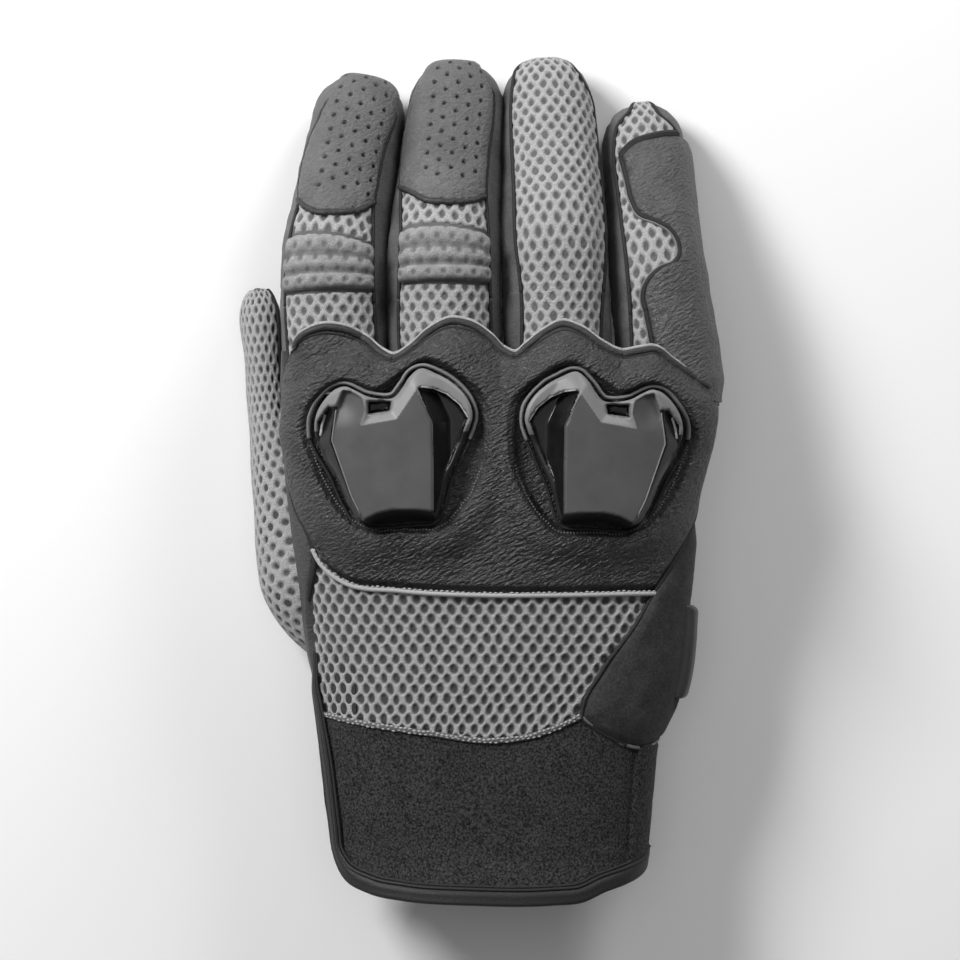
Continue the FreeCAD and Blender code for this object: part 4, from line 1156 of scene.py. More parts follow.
def build_guard(name, mirror):
    """Moulded guard: flat crown, chamfered band with its window, and two glossy scoops."""
    x, y = np.meshgrid(np.arange(-47.2, -1.4, GUARD_STEP), np.arange(-12.8, 31.8, GUARD_STEP))
    even_x, even_y = x, y
    shell = closed_curve(SHELL, 200)
    for outline in (CROWN, SCOOP, SIDE_SCOOP, WINDOW):
        away, near_x, near_y = nearest_on_line(x, y, outline, True)
        close = away < 0.45 * GUARD_STEP
        x, y = np.where(close, near_x, x), np.where(close, near_y, y)
    away, near_x, near_y = nearest_on_line(x, y, shell, True)
    close = away < 0.5 * GUARD_STEP
    x, y = np.where(close, near_x, x), np.where(close, near_y, y)
    kept = inside(x, y, shell) | close
    crown = inside(x, y, CROWN)
    from_crown = np.where(crown, 0, distance_to_line(x, y, CROWN, True))
    z = -np.minimum(0.5 * from_crown, 3.6) - 0.004 * (x + 24.0) ** 2 * crown
    z = z - 1.5 * smooth((y - 14) / 8) * smooth((-32 - x) / 7) * crown
    z = z - 2.2 * smooth((SHADED_BELOW + 3 - y) / 6) * (1 - crown)
    z = np.where(inside(x, y, SCOOP), -np.minimum(0.8 + 1.1 * from_crown, 6.2), z)
    z = np.where(inside(x, y, SIDE_SCOOP), -np.minimum(0.6 + 1.2 * from_crown, 5.6), z)
    z = np.where(inside(x, y, UNDERCUT), -np.minimum(0.8 + 3.4 * from_crown, 9.0), z)
    z = np.where(inside(x, y, WINDOW), -5.5, z)
    z = z - 1.0 * (1 - smooth(away / 0.9)) ** 2
    for axis in (0, 1, 0, 1):
        before, after = np.roll(z, 1, axis), np.roll(z, -1, axis)
        z = 0.25 * before + 0.5 * z + 0.25 * after
    z = z + GUARD_TOP + (x - GUARD_CENTRE_X) * GUARD_LEAN
    rows, columns = x.shape
    quads = grid_faces(rows, columns)
    good = kept.ravel()[quads]
    number = good.sum(1)
    faces = [list(f) for f in quads[number == 4]]
    faces += [[v for v, g in zip(f, ok) if g] for f, ok in zip(quads[number == 3], good[number == 3])]
    flat_x, flat_y = x.ravel(), y.ravel()
    centre_x = np.array([flat_x[f].mean() for f in faces])
    centre_y = np.array([flat_y[f].mean() for f in faces])
    looks = np.full(len(faces), BAND)
    looks[inside(centre_x, centre_y, CROWN)] = TOP
    # Band faces low on the guard and the undercut take the dark copy of the plastic: painted shade.
    looks[(centre_y < SHADED_BELOW) & (looks == BAND)] = IN_SHADE
    for outline in (SCOOP, SIDE_SCOOP, WINDOW):
        looks[inside(centre_x, centre_y, outline)] = GLOSS
    looks[inside(centre_x, centre_y, UNDERCUT) & ~inside(centre_x, centre_y, CROWN)] = IN_SHADE
    edges = dict.fromkeys((a, b) for f in faces for a, b in zip(f, f[1:] + f[:1]))
    border_edges = [(a, b) for a, b in edges if (b, a) not in edges]
    points = np.stack([flat_x, flat_y, z.ravel()], 1)
    used = sorted({v for f in faces for v in f})
    number_of = {v: k for k, v in enumerate(used)}
    points = points[used]
    faces = [[number_of[v] for v in f] for f in faces]
    foot = {}
    for a, _ in border_edges:
        foot[a] = len(points) + len(foot)
    low = points[[number_of[a] for a in foot]].copy()
    low[:, 2] = GUARD_FOOT
    points = np.vstack([points, low])
    walls = [[number_of[b], number_of[a], foot[a], foot[b]] for a, b in border_edges if b in foot]
    if mirror:
        points[:, :2] = mirrored(points[:, :2])
        faces = [f[::-1] for f in faces]
        walls = [f[::-1] for f in walls]
    order = np.argsort(looks, kind="stable")
    faces = [faces[k] for k in order] + walls
    looks = looks[order].tolist() + [IN_SHADE] * len(walls)
    materials = list(GUARD_MATERIALS)
    for line, radius, material in GUARD_LINES:
        bead = guard_line(line, even_x, even_y, z, radius, material, mirror)
        faces += [[int(v) + len(points) for v in f] for f in bead.faces]
        looks += [len(materials)] * len(bead.faces)
        materials.append(material)
        points = np.vstack([points, bead.points])
    guard = mesh_object(name, points, faces, looks, materials, np.zeros(len(points)))
    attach(guard, "hand")
    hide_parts(name)


def guard_line(line, x, y, z, radius, material, mirror):
    """Thin rounded bead on a guard along a line seen from above; where its plastic is lighter than the
    guard's, it is a painted highlight.
    """
    path = curve(line, 50, False)
    column = np.clip(np.round((path[:, 0] - x[0, 0]) / GUARD_STEP).astype(int), 0, x.shape[1] - 1)
    row = np.clip(np.round((path[:, 1] - y[0, 0]) / GUARD_STEP).astype(int), 0, x.shape[0] - 1)
    high = np.convolve(np.pad(z[row, column], 4, "edge"), np.ones(9) / 9, "valid")
    points = np.column_stack([path, high])
    up = np.tile([0.0, 0.0, 1.0], (len(path), 1))
    bead = rod_part(points, up, radius, radius, material)
    if mirror:
        bead.points[:, :2] = mirrored(bead.points[:, :2])
        flip(bead)
    return bead


WELT_GAP = 1.15            # from a guard's shell to the middle of its welt


def build_welts():
    """Raised welt round each guard, light over the top and dark below."""
    shell = closed_curve(SHELL, 220)
    parts = []
    for line in (shell, mirrored(shell)[::-1]):
        ahead = unit(np.roll(line, -2, axis=0) - np.roll(line, 2, axis=0))
        outer = line + np.stack([-ahead[:, 1], ahead[:, 0]], 1) * WELT_GAP
        path = HAND.locate(outer)
        kernel = np.ones(5) / 5
        for k in (0, 1):
            wrapped = np.r_[path[-2:, k], path[:, k], path[:2, k]]
            path[:, k] = np.convolve(wrapped, kernel, "valid")
        p, n = HAND.at(path[:, 0], path[:, 1], 1.0), HAND.normal(path[:, 0], path[:, 1])
        light = outer[:, 1] > 11.0
        start = int(np.argmax(light & ~np.roll(light, 1)))
        order = np.roll(np.arange(len(line)), -start)
        bright = order[light[order]]
        dark = order[~light[order]]
        dark = np.r_[bright[-1:], dark, bright[:1]]
        parts.append(rod_part(p[bright], n[bright], 0.55, 1.0, "welt", 0.3))
        parts.append(rod_part(p[dark], n[dark], 0.5, 0.8, "dark_seam_and_shade"))
    for bezel in BEZEL_LINES:
        p, n = outline_on_hand(bezel, 0.9)
        low = np.where(bezel[:, 1] < 10.0)[0]
        low = np.roll(low, -int(np.argmax(np.diff(low) > 1)) - 1) if (np.diff(low) > 1).any() else low
        line = offset_line(p, n, 0.2)
        parts.append(stitches_part(line[low], n[low], "thread_light",
                                   pitch=0.9, length=0.55, radius=0.3, lift=0.5))
    add("guard_welts", parts, "piping", "hand", "guard_welts")


# ---------------------------------------------------------------- fingers
# y where a finger's root piece ends and its main piece begins.
FINGER_SPLIT = {"index": 49.2, "middle": 51.0, "ring": 52.5, "pinky": 47.5}
# The two side seams of a finger's back, seen from above.
BACK_EDGES = {
    "index": ([(-53.0, 26), (-54.4, 40), (-54.7, 58), (-53.6, 68), (-50.8, 79), (-49.0, 88)],
              [(-28.0, 26), (-29.4, 45), (-30.0, 58), (-30.0, 68), (-29.8, 80), (-28.0, 90)]),
    "middle": ([(-22.4, 26), (-23.2, 45), (-22.9, 60), (-22.6, 70), (-22.4, 84), (-21.0, 93)],
               [(3.6, 26), (2.9, 45), (2.5, 60), (2.2, 70), (1.4, 84), (1.8, 92)]),
    "ring": ([(11.0, 26), (11.0, 53.5), (9.4, 67.5), (9.0, 81.5), (8.4, 96), (8.4, 108), (9.4, 115)],
             [(33.4, 26), (33.8, 45), (35.2, 65), (35.0, 78), (33.0, 92), (32.4, 104), (29.0, 112),
              (26.5, 116)]),
    "pinky": ([(42.4, 26), (41.2, 53), (38.4, 80), (37.2, 92), (38.4, 100), (42.0, 104)],
              [(65.0, 26), (63.0, 45), (60.0, 65), (58.4, 80), (56.6, 94), (54.6, 99), (50.0, 103)]),
}
# y of the ribs over the middle joints.
RIBS = {"index": (55.7, 60.6, 65.5), "middle": (58.0, 63.0, 67.9)}
RIB_HALF = 2.45
RIB_HIGH = 2.2
TIP_SPACING = 0.34         # vertex spacing of the fingertips
# Lower edge and two side edges of a fingertip's leather.
TIP_EDGES = {
    "index": ([(-50.9, 78.2), (-48.2, 75.6), (-41.0, 74.6), (-37.8, 74.8), (-33.6, 75.5), (-30.0, 77.8)],
              [(-50.9, 78.2), (-50.6, 84.0), (-47.9, 95.3), (-44.5, 103.4), (-41.2, 110.0)],
              [(-30.0, 77.8), (-29.4, 81.5), (-26.6, 94.9), (-24.4, 101.0), (-23.2, 105.5)]),
    "middle": ([(-22.5, 82.0), (-19.0, 80.2), (-14.4, 77.8), (-9.8, 77.6), (-3.2, 77.9), (1.1, 79.2)],
               [(-22.5, 82.0), (-22.3, 86.1), (-20.9, 98.6), (-18.9, 108.0), (-15.4, 115.2)],
               [(1.1, 79.2), (1.9, 90.7), (3.2, 102.0), (3.2, 108.5), (1.0, 113.4)]),
}


def s_at(form, y):
    """Distance along a form where it crosses a given y on top."""
    s = form.s
    at = form.bare(np.full(len(s), 0.5), s)[:, 1]
    rising = np.maximum.accumulate(at)
    return float(np.interp(y, rising, s))


def tube_part(form, s_low, s_high, spacing, height, material, columns=116, closed_end=False):
    """Whole ring of skin on a form between two stations."""
    rows = int((s_high - s_low) / spacing) + 2
    q, s = np.meshgrid(np.linspace(0, 2, columns, endpoint=False), np.linspace(s_low, s_high, rows))
    points = form.at(q, s, height(q, s)).reshape(-1, 3)
    faces = [list(f) for f in grid_faces(rows, columns, True)]
    if closed_end:
        faces.append(list(range((rows - 1) * columns, rows * columns)))
    return Part(points, faces, material)


def finger_seams(form, s_low, s_high, sides):
    """Turned seams along a finger at given stations round it."""
    parts = []
    for q in sides:
        s = np.linspace(s_low, s_high, int((s_high - s_low) / 1.0) + 2)
        p, n = form.at(np.full(len(s), q), s, -0.15), form.normal(np.full(len(s), q), s)
        parts.append(rod_part(p, n, 0.55, 0.5, "dark_seam_and_shade"))
    return parts


SIDE_SEAMS = (1.14, 1.86)  # q of a finger's seams


def skin_height(seed, hidden=0.0):
    """Height of finger leather: soft wrinkles, side seams, and sunk by hidden at its root."""
    def height(q, s):
        """Height over the form."""
        wrinkle = 0.30 * value_noise(q * 30, s, 7.0, seed)
        wrinkle = wrinkle + 0.16 * value_noise(q * 24, s * 1.6, 3.0, seed + 1)
        seam = sum(np.exp(-((np.mod(q - c + 1, 2) - 1) / 0.018) ** 2) for c in SIDE_SEAMS)
        return -0.5 + wrinkle - 0.35 * seam - hidden * (1 - smooth((s - 3) / 9))
    return height


def build_finger_skin(name, seed):
    """Fourchettes, palm side and tip of one finger, as a root piece and a main piece."""
    form = FORMS[name]
    split = s_at(form, FINGER_SPLIT[name])
    end = form.s[-1] - 0.4
    stretches = (("root", 3.0, split, bend_at_knuckle), ("main", split, end, bend_at_middle))
    for part, low, high, bend in stretches:
        last = part == "main"
        # The fingers' skin takes the lighter copy of the side leather: painted light.
        parts = [tube_part(form, low, high, 1.0, skin_height(seed, 4.0), "fourchette", closed_end=last)]
        parts += finger_seams(form, low + 0.5, high - (4.0 if last else 0.0), SIDE_SEAMS)
        skin = piece(f"{name}_skin_{part}", parts)
        bend(skin, name)
        which = "upper" if last else "lower"
        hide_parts(f"{name}_{which}_palm", f"{name}_{which}_sides")


def back_grid(form, name, y_low, y_high, spacing, s_end=None):
    """Grid of q and s over a finger's back, between its two side seams."""
    left, right = BACK_EDGES[name]
    s_low = s_at(form, y_low)
    s_high = s_end if s_end is not None else s_at(form, y_high)
    rows = int((s_high - s_low) / spacing) + 2
    s = np.linspace(s_low, s_high, rows)
    lines = []
    for line in (left, right):
        found = form.locate(curve(line, 80))
        order = np.argsort(found[:, 1])
        lines.append(np.interp(s, found[order, 1], found[order, 0]))
    kernel = np.ones(9) / 9
    lines = [np.convolve(np.pad(v, 4, "edge"), kernel, "valid") for v in lines]
    across = form.girth / 2 * 0.66
    columns = int(across / spacing) + 2
    u = np.linspace(0, 1, columns)[None, :]
    q = lines[0][:, None] * (1 - u) + lines[1][:, None] * u
    return q, np.broadcast_to(s[:, None], q.shape)


def build_finger_mesh(name, seed):
    """Air mesh over a finger's back, with ribs over the middle joint of the two longest."""
    form = FORMS[name]
    tip = name in ("ring", "pinky")
    split = FINGER_SPLIT[name]
    top = {"index": 83.0, "middle": 86.0}.get(name, 0)
    end = form.s[-1] - 3.2 if tip else None
    stretches = (("root", 24.0, split, bend_at_knuckle), ("main", split, top, bend_at_middle))
    for part, low, high, bend in stretches:
        q, s = back_grid(form, name, low, high, 0.4, end if part == "main" else None)
        u = (q - 0.5) * form.girth / 2
        holes = mesh_holes(u + seed * 1.3, s, 0.92, 1.5)
        h = 0.12 - 0.8 * MESH_DEPTH * holes + 0.18 * value_noise(u, s, 9.0, seed)
        side = np.minimum(q - q[:, :1], q[:, -1:] - q) * form.girth / 2
        if name in RIBS:
            across = smooth(side / 2.2)
            arch = 0.0022 * u * u
            swell = np.zeros_like(s)
            # The lower half of each rib is painted darker, and the grooves between the ribs are sunk and also
            # painted darker: painted shade.
            shaded_lower_half = np.zeros_like(s)
            for y in RIBS[name]:
                away = (s + arch - s_at(form, y)) / RIB_HALF
                swell = np.maximum(swell, np.sqrt(np.maximum(1 - away ** 2, 0)))
                shaded_lower_half = np.maximum(shaded_lower_half, smooth(-away * 1.2) * (away > -1))
            first, final = s_at(form, RIBS[name][0]), s_at(form, RIBS[name][-1])
            band = smooth((s - first + 3.4) / 0.8) * smooth((final + 3.4 - s) / 0.8)
            dots = smooth((1.25 - lattice(u, s + arch - first, (3.9, 2.45), (1.0, 0.95))) / 0.9)
            groove_and_shade = smooth((0.66 - swell) / 0.4) * band
            plain = 0.36 + 0.16 * value_noise(u, s, 1.1, seed + 5) + 0.45 * shaded_lower_half
            on_ribs = np.maximum(np.maximum(plain, 0.3 * plain + 0.75 * dots), 1.7 * groove_and_shade)
            holes = holes * (1 - band) + band * on_ribs
            h = 0.12 - 0.8 * MESH_DEPTH * holes * (1 - 0.6 * band)
            h = h + (RIB_HIGH * swell - 0.4 * dots * swell) * across - 1.4 * groove_and_shade
        h = h - 0.9 * (1 - smooth(side / 1.2))
        parts = [sheet_part(form, q, s, h, "air_mesh_light", holes, thick=0.9)]
        for column in (0, -1):
            line_q, line_s = q[::3, column], s[::3, column]
            p, n = form.at(line_q, line_s, -0.25), form.normal(line_q, line_s)
            parts.append(rod_part(p, n, 0.62, 0.55, "dark_seam_and_shade"))
        mesh = piece(f"{name}_mesh_{part}", parts)
        bend(mesh, name)
        which = "lower" if part == "root" else "upper"
        nodes = [f"{name}_{which}_back"]
        if name in RIBS:
            nodes.append(f"{name}_{which}_ribs")
        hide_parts(*nodes)


def build_finger_tip(name, seed):
    """Perforated leather over a fingertip."""
    form = FORMS[name]
    bottom, left, right = (plan(form, curve(line, 40)) for line in TIP_EDGES[name])
    end = form.s[-1] - 5.0
    half = form.girth / 2
    q_left, q_right = left[-1, 0] / half, right[-1, 0] / half
    left = np.vstack([left, [(q_left * half, end)]])
    right = np.vstack([right, [(q_right * half, end)]])
    top = np.array([left[-1], right[-1]])
    q, s = patch(form, bottom, top, left, right, TIP_SPACING)
    u = (q - 0.5) * half
    region = smooth((s - bottom[:, 1].mean() - 4.5) / 0.5)
    holes = leather_holes(u, s) * region * smooth((u + 8.6) / 0.5) * smooth((8.6 - u) / 0.5)
    edge = border(q.shape, TIP_SPACING)
    h = 0.85 + 0.35 * smooth(edge / 4) - 0.9 * (1 - smooth(edge / 1.3)) ** 2
    lower = np.exp(-((s - bottom[:, 1].mean() - 3) / 6.0) ** 2)
    h = h + 0.16 * value_noise(u * 2.2, s * 0.8, 3.2, seed) * lower + 0.10 * value_noise(u, s, 6.0, seed + 1)
    corner = np.exp(-((s - bottom[:, 1].mean() - 4) / 5.0) ** 2) * smooth((np.abs(u) - 2.0) / 4.0)
    h = h + 0.16 * value_noise(u * 0.45 + s * 0.55, s * 0.9 - u * 0.7, 0.85, seed + 2) * corner
    h = h - 0.8 * holes - 0.85 * smooth((s - end + 6.0) / 6.0)
    parts = [sheet_part(form, q, s, h, "leather_tip", holes, thick=1.6)]
    p, n = line_on(form, bottom, 70, 0.45)
    parts.append(rod_part(p, n, 0.85, 0.75, "leather_bead"))
    for line in (left, right):
        p, n = line_on(form, line[:-1], 90, 0.1)
        p = p - n * 1.6 * smooth((np.arange(len(p)) - 76) / 13.0)[:, None]
        parts.append(rod_part(p, n, 0.6, 0.6, "dark_seam_and_shade"))
    add(f"{name}_tip", parts, "leather", f"{name}_upper", f"{name}_tip_leather")


PINKY_SEAM = [(39.4, 90.9), (41.0, 84.6), (42.4, 78.5), (44.6, 74.2), (49.6, 72.2), (53.4, 69.2),
              (55.2, 65.6), (55.3, 62.6), (53.6, 60.2), (50.4, 59.0), (47.3, 56.3), (45.7, 53.2),
              (45.4, 50.7), (46.2, 47.0)]
PINKY_SEAM_LOW = [(46.2, 47.0), (47.6, 40.0), (48.9, 30.0)]
PINKY_TOP = [(39.4, 90.9), (43.0, 94.6), (47.3, 96.2), (52.8, 97.3), (55.6, 97.0)]
PINKY_SPACING = 0.55


def build_pinky_leather():
    """Leather over the little finger's outer side, in two pieces for its two joints."""
    form = FORMS["pinky"]
    half = form.girth / 2
    low_side = 1.18 * half
    seam, top = plan(form, PINKY_SEAM), plan(form, PINKY_TOP)
    s_split = seam[-1, 1]
    split_corner = (low_side, s_split)
    top_corner = (low_side, top[-1, 1] - 2)
    upper = patch(form, [seam[-1], split_corner], np.vstack([top, [top_corner]]), seam[::-1],
                  [split_corner, top_corner], PINKY_SPACING)
    seam_low = plan(form, PINKY_SEAM_LOW)
    s_root = s_at(form, 21.0)
    root_corner = (low_side, s_root)
    seam_root = (seam_low[-1, 0], s_root)
    lower = patch(form, [seam_root, root_corner], [seam_low[0], split_corner],
                  [seam_root, seam_low[1], seam_low[0]], [root_corner, split_corner], PINKY_SPACING)
    for part, (q, s), bend, node_name in (("main", upper, bend_at_middle, "pinky_upper_leather"),
                                         ("root", lower, bend_at_knuckle, "pinky_lower_leather")):
        u = q * half
        rows, columns = q.shape
        side = (np.arange(columns) * PINKY_SPACING)[None, :] * np.ones((rows, 1))
        if part == "main":
            side = np.minimum(side, ((rows - 1 - np.arange(rows)) * PINKY_SPACING)[:, None])
        h = 0.9 + 0.5 * smooth(side / 4) - 1.0 * (1 - smooth(side / 1.4)) ** 2
        h = h + 0.22 * value_noise(u, s, 8.0, 41) + 0.12 * value_noise(u * 1.5, s * 0.7, 3.5, 42)
        h = h - 1.1 * smooth((q - 0.98) / 0.18) - 1.6 * (1 - smooth((s - s_root) / 7.0))
        # Painted highlight: the lighter copy of the knuckle leather.
        parts = [sheet_part(form, q, s, h, "leather_finger", thick=1.4)]
        edge = np.stack([q[:, 0] * half, s[:, 0]], 1)
        p, n = line_on(form, edge, 120, 0.35, False)
        parts.append(rod_part(p, n, 0.75, 0.65, "dark_seam_and_shade"))
        parts.append(rod_part(offset_line(p, n, 0.9), n, 0.3, 0.35, "thread_light"))
        if part == "main":
            reach = slice(int(columns * 0.62))
            across = np.stack([q[-1, reach] * half, s[-1, reach]], 1)
            p, n = line_on(form, across, 60, 0.55, False)
            parts.append(rod_part(p, n, 1.2, 0.7, "dark_seam_and_shade"))
            parts.append(stitches_part(p, n, "thread", pitch=1.4, length=2.6, radius=0.22, lift=0.55))
        leather = piece(f"pinky_leather_{part}", parts)
        bend(leather, "pinky")
        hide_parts(node_name)


# ---------------------------------------------------------------- thumb
THUMB_SPLIT = 4.0          # y where the base piece ends and the main piece begins
THUMB_BACK = (0.08, 1.20)  # q of the two seams beside the thumb's mesh


def build_thumb():
    """Thumb in two stretches: mesh outside, leather inside, with bound seams."""
    form = THUMB_TUBE
    split = float(np.interp(THUMB_SPLIT, form.centre[:, 1], form.s))
    end = form.s[-1] - 0.4
    for part, low, high in (("base", 0.3, split), ("main", split, end)):
        last = part == "main"
        skin_parts = [tube_part(form, low, high, 1.0, skin_height(61), "leather_side", 130, last)]
        q_line = np.linspace(0, 1, int(THUMB_BACK[1] * form.girth / 2 / FINE))
        s_low, s_high = (2.5, high) if not last else (low, form.s[-1] - 4.0)
        s_line = np.linspace(s_low, s_high, int((s_high - s_low) / FINE))
        u01, s = np.meshgrid(q_line, s_line)
        q = THUMB_BACK[0] * (1 - u01) + THUMB_BACK[1] * u01
        u = q * form.girth / 2
        holes = mesh_holes(u, s, 0.78, 1.7)
        side = np.minimum(u01, 1 - u01) * (THUMB_BACK[1] - THUMB_BACK[0]) * form.girth / 2
        h = 0.1 - 0.8 * MESH_DEPTH * holes + 0.25 * value_noise(u, s, 10.0, 63)
        h = h - 0.9 * (1 - smooth(side / 1.2))
        # The thumb takes the paler mesh: painted light on its lit side.
        mesh_parts = [sheet_part(form, q, s, h, "air_mesh_light", holes, thick=0.9)]
        for column in (0, -1):
            p, n = form.at(q[::3, column], s[::3, column], -0.1), form.normal(q[::3, column], s[::3, column])
            mesh_parts.append(rod_part(p, n, 0.75, 0.65, "dark_seam_and_shade"))
        skin = piece(f"thumb_skin_{part}", skin_parts)
        mesh = piece(f"thumb_mesh_{part}", mesh_parts)
        for obj in (skin, mesh):
            if last:
                bend_thumb(obj)
            else:
                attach(obj, "thumb_lower")
        which = "upper" if last else "lower"
        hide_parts(f"thumb_{which}_palm")
        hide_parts(f"thumb_{which}_back")


def bend_thumb(obj):
    """Bake a thumb piece's placement into its mesh."""
    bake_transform(obj)


# ---------------------------------------------------------------- palm side
PALM_FRONT = 37.0          # the palm leather ends here, inside the finger roots


def build_palm():
    """Palm leather, wrapped up both sides under its neighbours, closing onto the finger roots."""
    rows_s = np.arange(-74.0, PALM_FRONT, 0.9)
    q_line = np.arange(0.84, 2.17, 0.9 * 2 / HAND.girth)
    q, s = np.meshgrid(q_line, rows_s)
    u = q * HALF_GIRTH
    h = 0.35 * value_noise(u, s, 15.0, 51) + 0.15 * value_noise(u, s, 5.0, 52)
    h = h - 0.9 - 7.0 * smooth((s - 22) / 20)
    for line, deep in ((1.2, 0.0), (1.95, 0.6)):
        h = h - deep * np.exp(-((q - line) * HALF_GIRTH / 0.8) ** 2)
    part = sheet_part(HAND, q, s, h, "palm_suede", thick=1.2)
    band = [(2.05, -66.0), (2.05, -40.0), (2.05, -15.0), (2.03, 20.0)]
    line, n = line_on(HAND, np.array(band) * [HALF_GIRTH, 1], 120, -0.7)
    parts = [part, stitches_part(line, n, "thread", pitch=2.6, length=1.7, radius=0.25, lift=0.1)]
    add("palm_leather_panel", parts, "suede", "hand", "palm_leather_panel")


def build_side_band():
    """Plain leather between the back panels and the thumb."""
    edge_line = plan(HAND, MESH_LEFT + PANEL_LEFT[1:] + [(-54.6, 36.0)])
    low, high = edge_line[0, 1] - 1.0, edge_line[-1, 1]
    outer = np.array([(-0.09 * HALF_GIRTH, low), (-0.07 * HALF_GIRTH, -20.0), (-0.05 * HALF_GIRTH, high)])
    tucked = edge_line + [2.6, 0.0]
    tucked[0, 1] = low
    q, s = patch(HAND, [outer[0], tucked[0]], [outer[-1], tucked[-1]], outer, tucked, MEDIUM)
    u = q * HALF_GIRTH
    from_edge = (q.shape[1] - 1 - np.arange(q.shape[1]))[None, :] * MEDIUM
    h = 0.9 + 0.22 * value_noise(u, s, 9.0, 71) + 0.14 * value_noise(u * 1.4, s * 0.6, 4.0, 72)
    h = h - 2.6 * (1 - smooth((from_edge - 1.0) / 3.0)) - 2.1 * (1 - smooth((s - low) / 20.0))
    parts = [sheet_part(HAND, q, s, h, "leather_side", thick=1.0)]
    # A wide near-black rod in the tucked groove beside the panels: painted shadow.
    seam = edge_line[(edge_line[:, 1] > -44.0)] - [0.9, 0.0]
    p, n = line_on(HAND, seam, 200, 0.1)
    parts.append(rod_part(p, n, 1.2, 0.7, "dark_seam_and_shade"))
    add("thumb_side_band", parts, "leather", "hand")


def build_root_closure():
    """Soft leather that closes the hand between the finger roots."""
    columns = 200
    q = np.linspace(0, 2, columns, endpoint=False)
    rings = [(20.0, -1.8), (28.0, -1.9), (32.0, -2.6), (34.2, -4.6), (35.0, -8.0)]
    points = [HAND.at(q, np.full(columns, s), h) for s, h in rings]
    last = points[-1]
    middle = last.mean(0)
    for share in (0.5, 0.15):
        points.append(middle + (last - middle) * share)
    points = np.array(points)
    rows = len(points)
    faces = [list(f) for f in grid_faces(rows, columns, True)]
    faces.append(list(range((rows - 1) * columns, rows * columns)))
    add("finger_root_closure", [Part(points, faces, "leather_side")], "leather", "hand")


def rolled(edge, width):
    """Height from 0 to 1 of an edge rounded over a width."""
    return np.sqrt(np.maximum(1 - np.maximum(1 - edge / width, 0) ** 2, 0))


def evenly(ends, spacing):
    """Values between two ends, about spacing apart."""
    return np.linspace(*ends, int((ends[1] - ends[0]) / spacing) + 2)


def pad_part(form, q_range, s_range, top, material, round_edge, spacing, thick):
    """Raised patch with rounded edges between two q and two s values."""
    columns = int((q_range[1] - q_range[0]) * form.girth / 2 / spacing) + 2
    q, s = np.meshgrid(np.linspace(*q_range, columns), evenly(s_range, spacing))
    edge = border(q.shape, spacing)
    h = top * rolled(edge, round_edge)
    return sheet_part(form, q, s, h, material, None, thick)


# Limits in x, then in y.
HEEL_PAD = (-8.0, 30.0, -64.0, -34.0)
PALM_PATCH = (-12.0, 36.0, -20.0, 10.0)
STRAP_X = (-30.0, 27.0)
STRAP_Y = (-107.0, -82.0)


def flat_patch(x_range, y_range, top, material, round_edge, thick, corner, spacing=0.8):
    """Patch under the palm between x and y limits."""
    x, y = np.meshgrid(evenly(x_range, spacing), evenly(y_range, spacing))
    x, y = rounded(x, y, x_range, y_range, corner)
    q = under_q(x, y)
    edge = border(q.shape, spacing)
    h = top * rolled(edge, round_edge)
    return sheet_part(HAND, q[:, ::-1], y[:, ::-1], h[:, ::-1], material, None, thick)


def rounded(x, y, x_range, y_range, corner):
    """Grid squeezed so that its four corners become round."""
    cx, cy = sum(x_range) / 2, sum(y_range) / 2
    a, b = (x_range[1] - x_range[0]) / 2, (y_range[1] - y_range[0]) / 2
    u, v = (x - cx) / a, (y - cy) / b
    p = 2 * max(a, b) / corner
    size = np.maximum(np.abs(u), np.abs(v))
    length = (np.abs(u) ** p + np.abs(v) ** p) ** (1 / p)
    scale = np.where(length > 1e-6, size / np.maximum(length, 1e-6), 1.0)
    return cx + u * a * scale, cy + v * b * scale


def under_q(x, y):
    """q on the palm side for every x and y."""
    grid_q = np.linspace(1.0, 2.0, 300)
    stations = np.arange(-125.0, 48.0, 2.0)
    table = np.array([HAND.bare(grid_q, np.full(300, s))[:, 0] for s in stations])
    k = np.clip(((y - stations[0]) / 2.0).astype(int), 0, len(stations) - 2)
    t = (y - stations[0]) / 2.0 - k
    found = np.zeros_like(x)
    for i in np.ndindex(x.shape):
        row = table[k[i]] * (1 - t[i]) + table[k[i] + 1] * t[i]
        found[i] = np.interp(-x[i], -row, grid_q)
    return found


def build_palm_pads():
    """Padded heel, flat below, and the palm's second layer of suede."""
    x0, x1, y0, y1 = HEEL_PAD
    spacing = 0.8
    x, y = np.meshgrid(np.linspace(x0, x1, 54), np.linspace(y0, y1, 44))
    x, y = rounded(x, y, (x0, x1), (y0, y1), 14.0)
    q = under_q(x, y)
    surface = HAND.bare(q, y)[..., 2]
    edge = border(q.shape, spacing)
    fall = rolled(edge, 4.5)
    bottom = 0.12 * (value_noise(x, y, 6.0, 81) * 0.5 + 0.5) * smooth(edge / 5)
    high = (surface - bottom) * fall
    pad = sheet_part(HAND, q[:, ::-1], y[:, ::-1], high[:, ::-1], "palm_suede", thick=1.2)
    pad.points[:, 2] = np.maximum(pad.points[:, 2], 0.0)
    heel = add("palm_heel_pad", [pad], "suede", "hand", "palm_heel_pad")
    x0, x1, y0, y1 = PALM_PATCH
    layer = flat_patch((x0, x1), (y0, y1), 1.2, "suede", 1.0, thick=1.5, corner=16.0)
    add("palm_patch", [layer], "suede", "hand", "palm_patch")


def build_slider():
    """Slider on the heel of the hand, on its base."""
    parts = [pad_part(HAND, (0.93, 1.12), (-62.0, -33.6), 1.0, "slider_rubber", 1.0, spacing=0.6, thick=1.2)]
    add("slider_base", parts, "slider_rubber", "hand", "slider_base")
    block = pad_part(HAND, (0.945, 1.10), (-61.0, -34.6), 3.6, "slider_rubber", 2.2, spacing=0.45, thick=3.0)
    add("heel_slider", [block], "slider_rubber", "hand", "heel_slider")


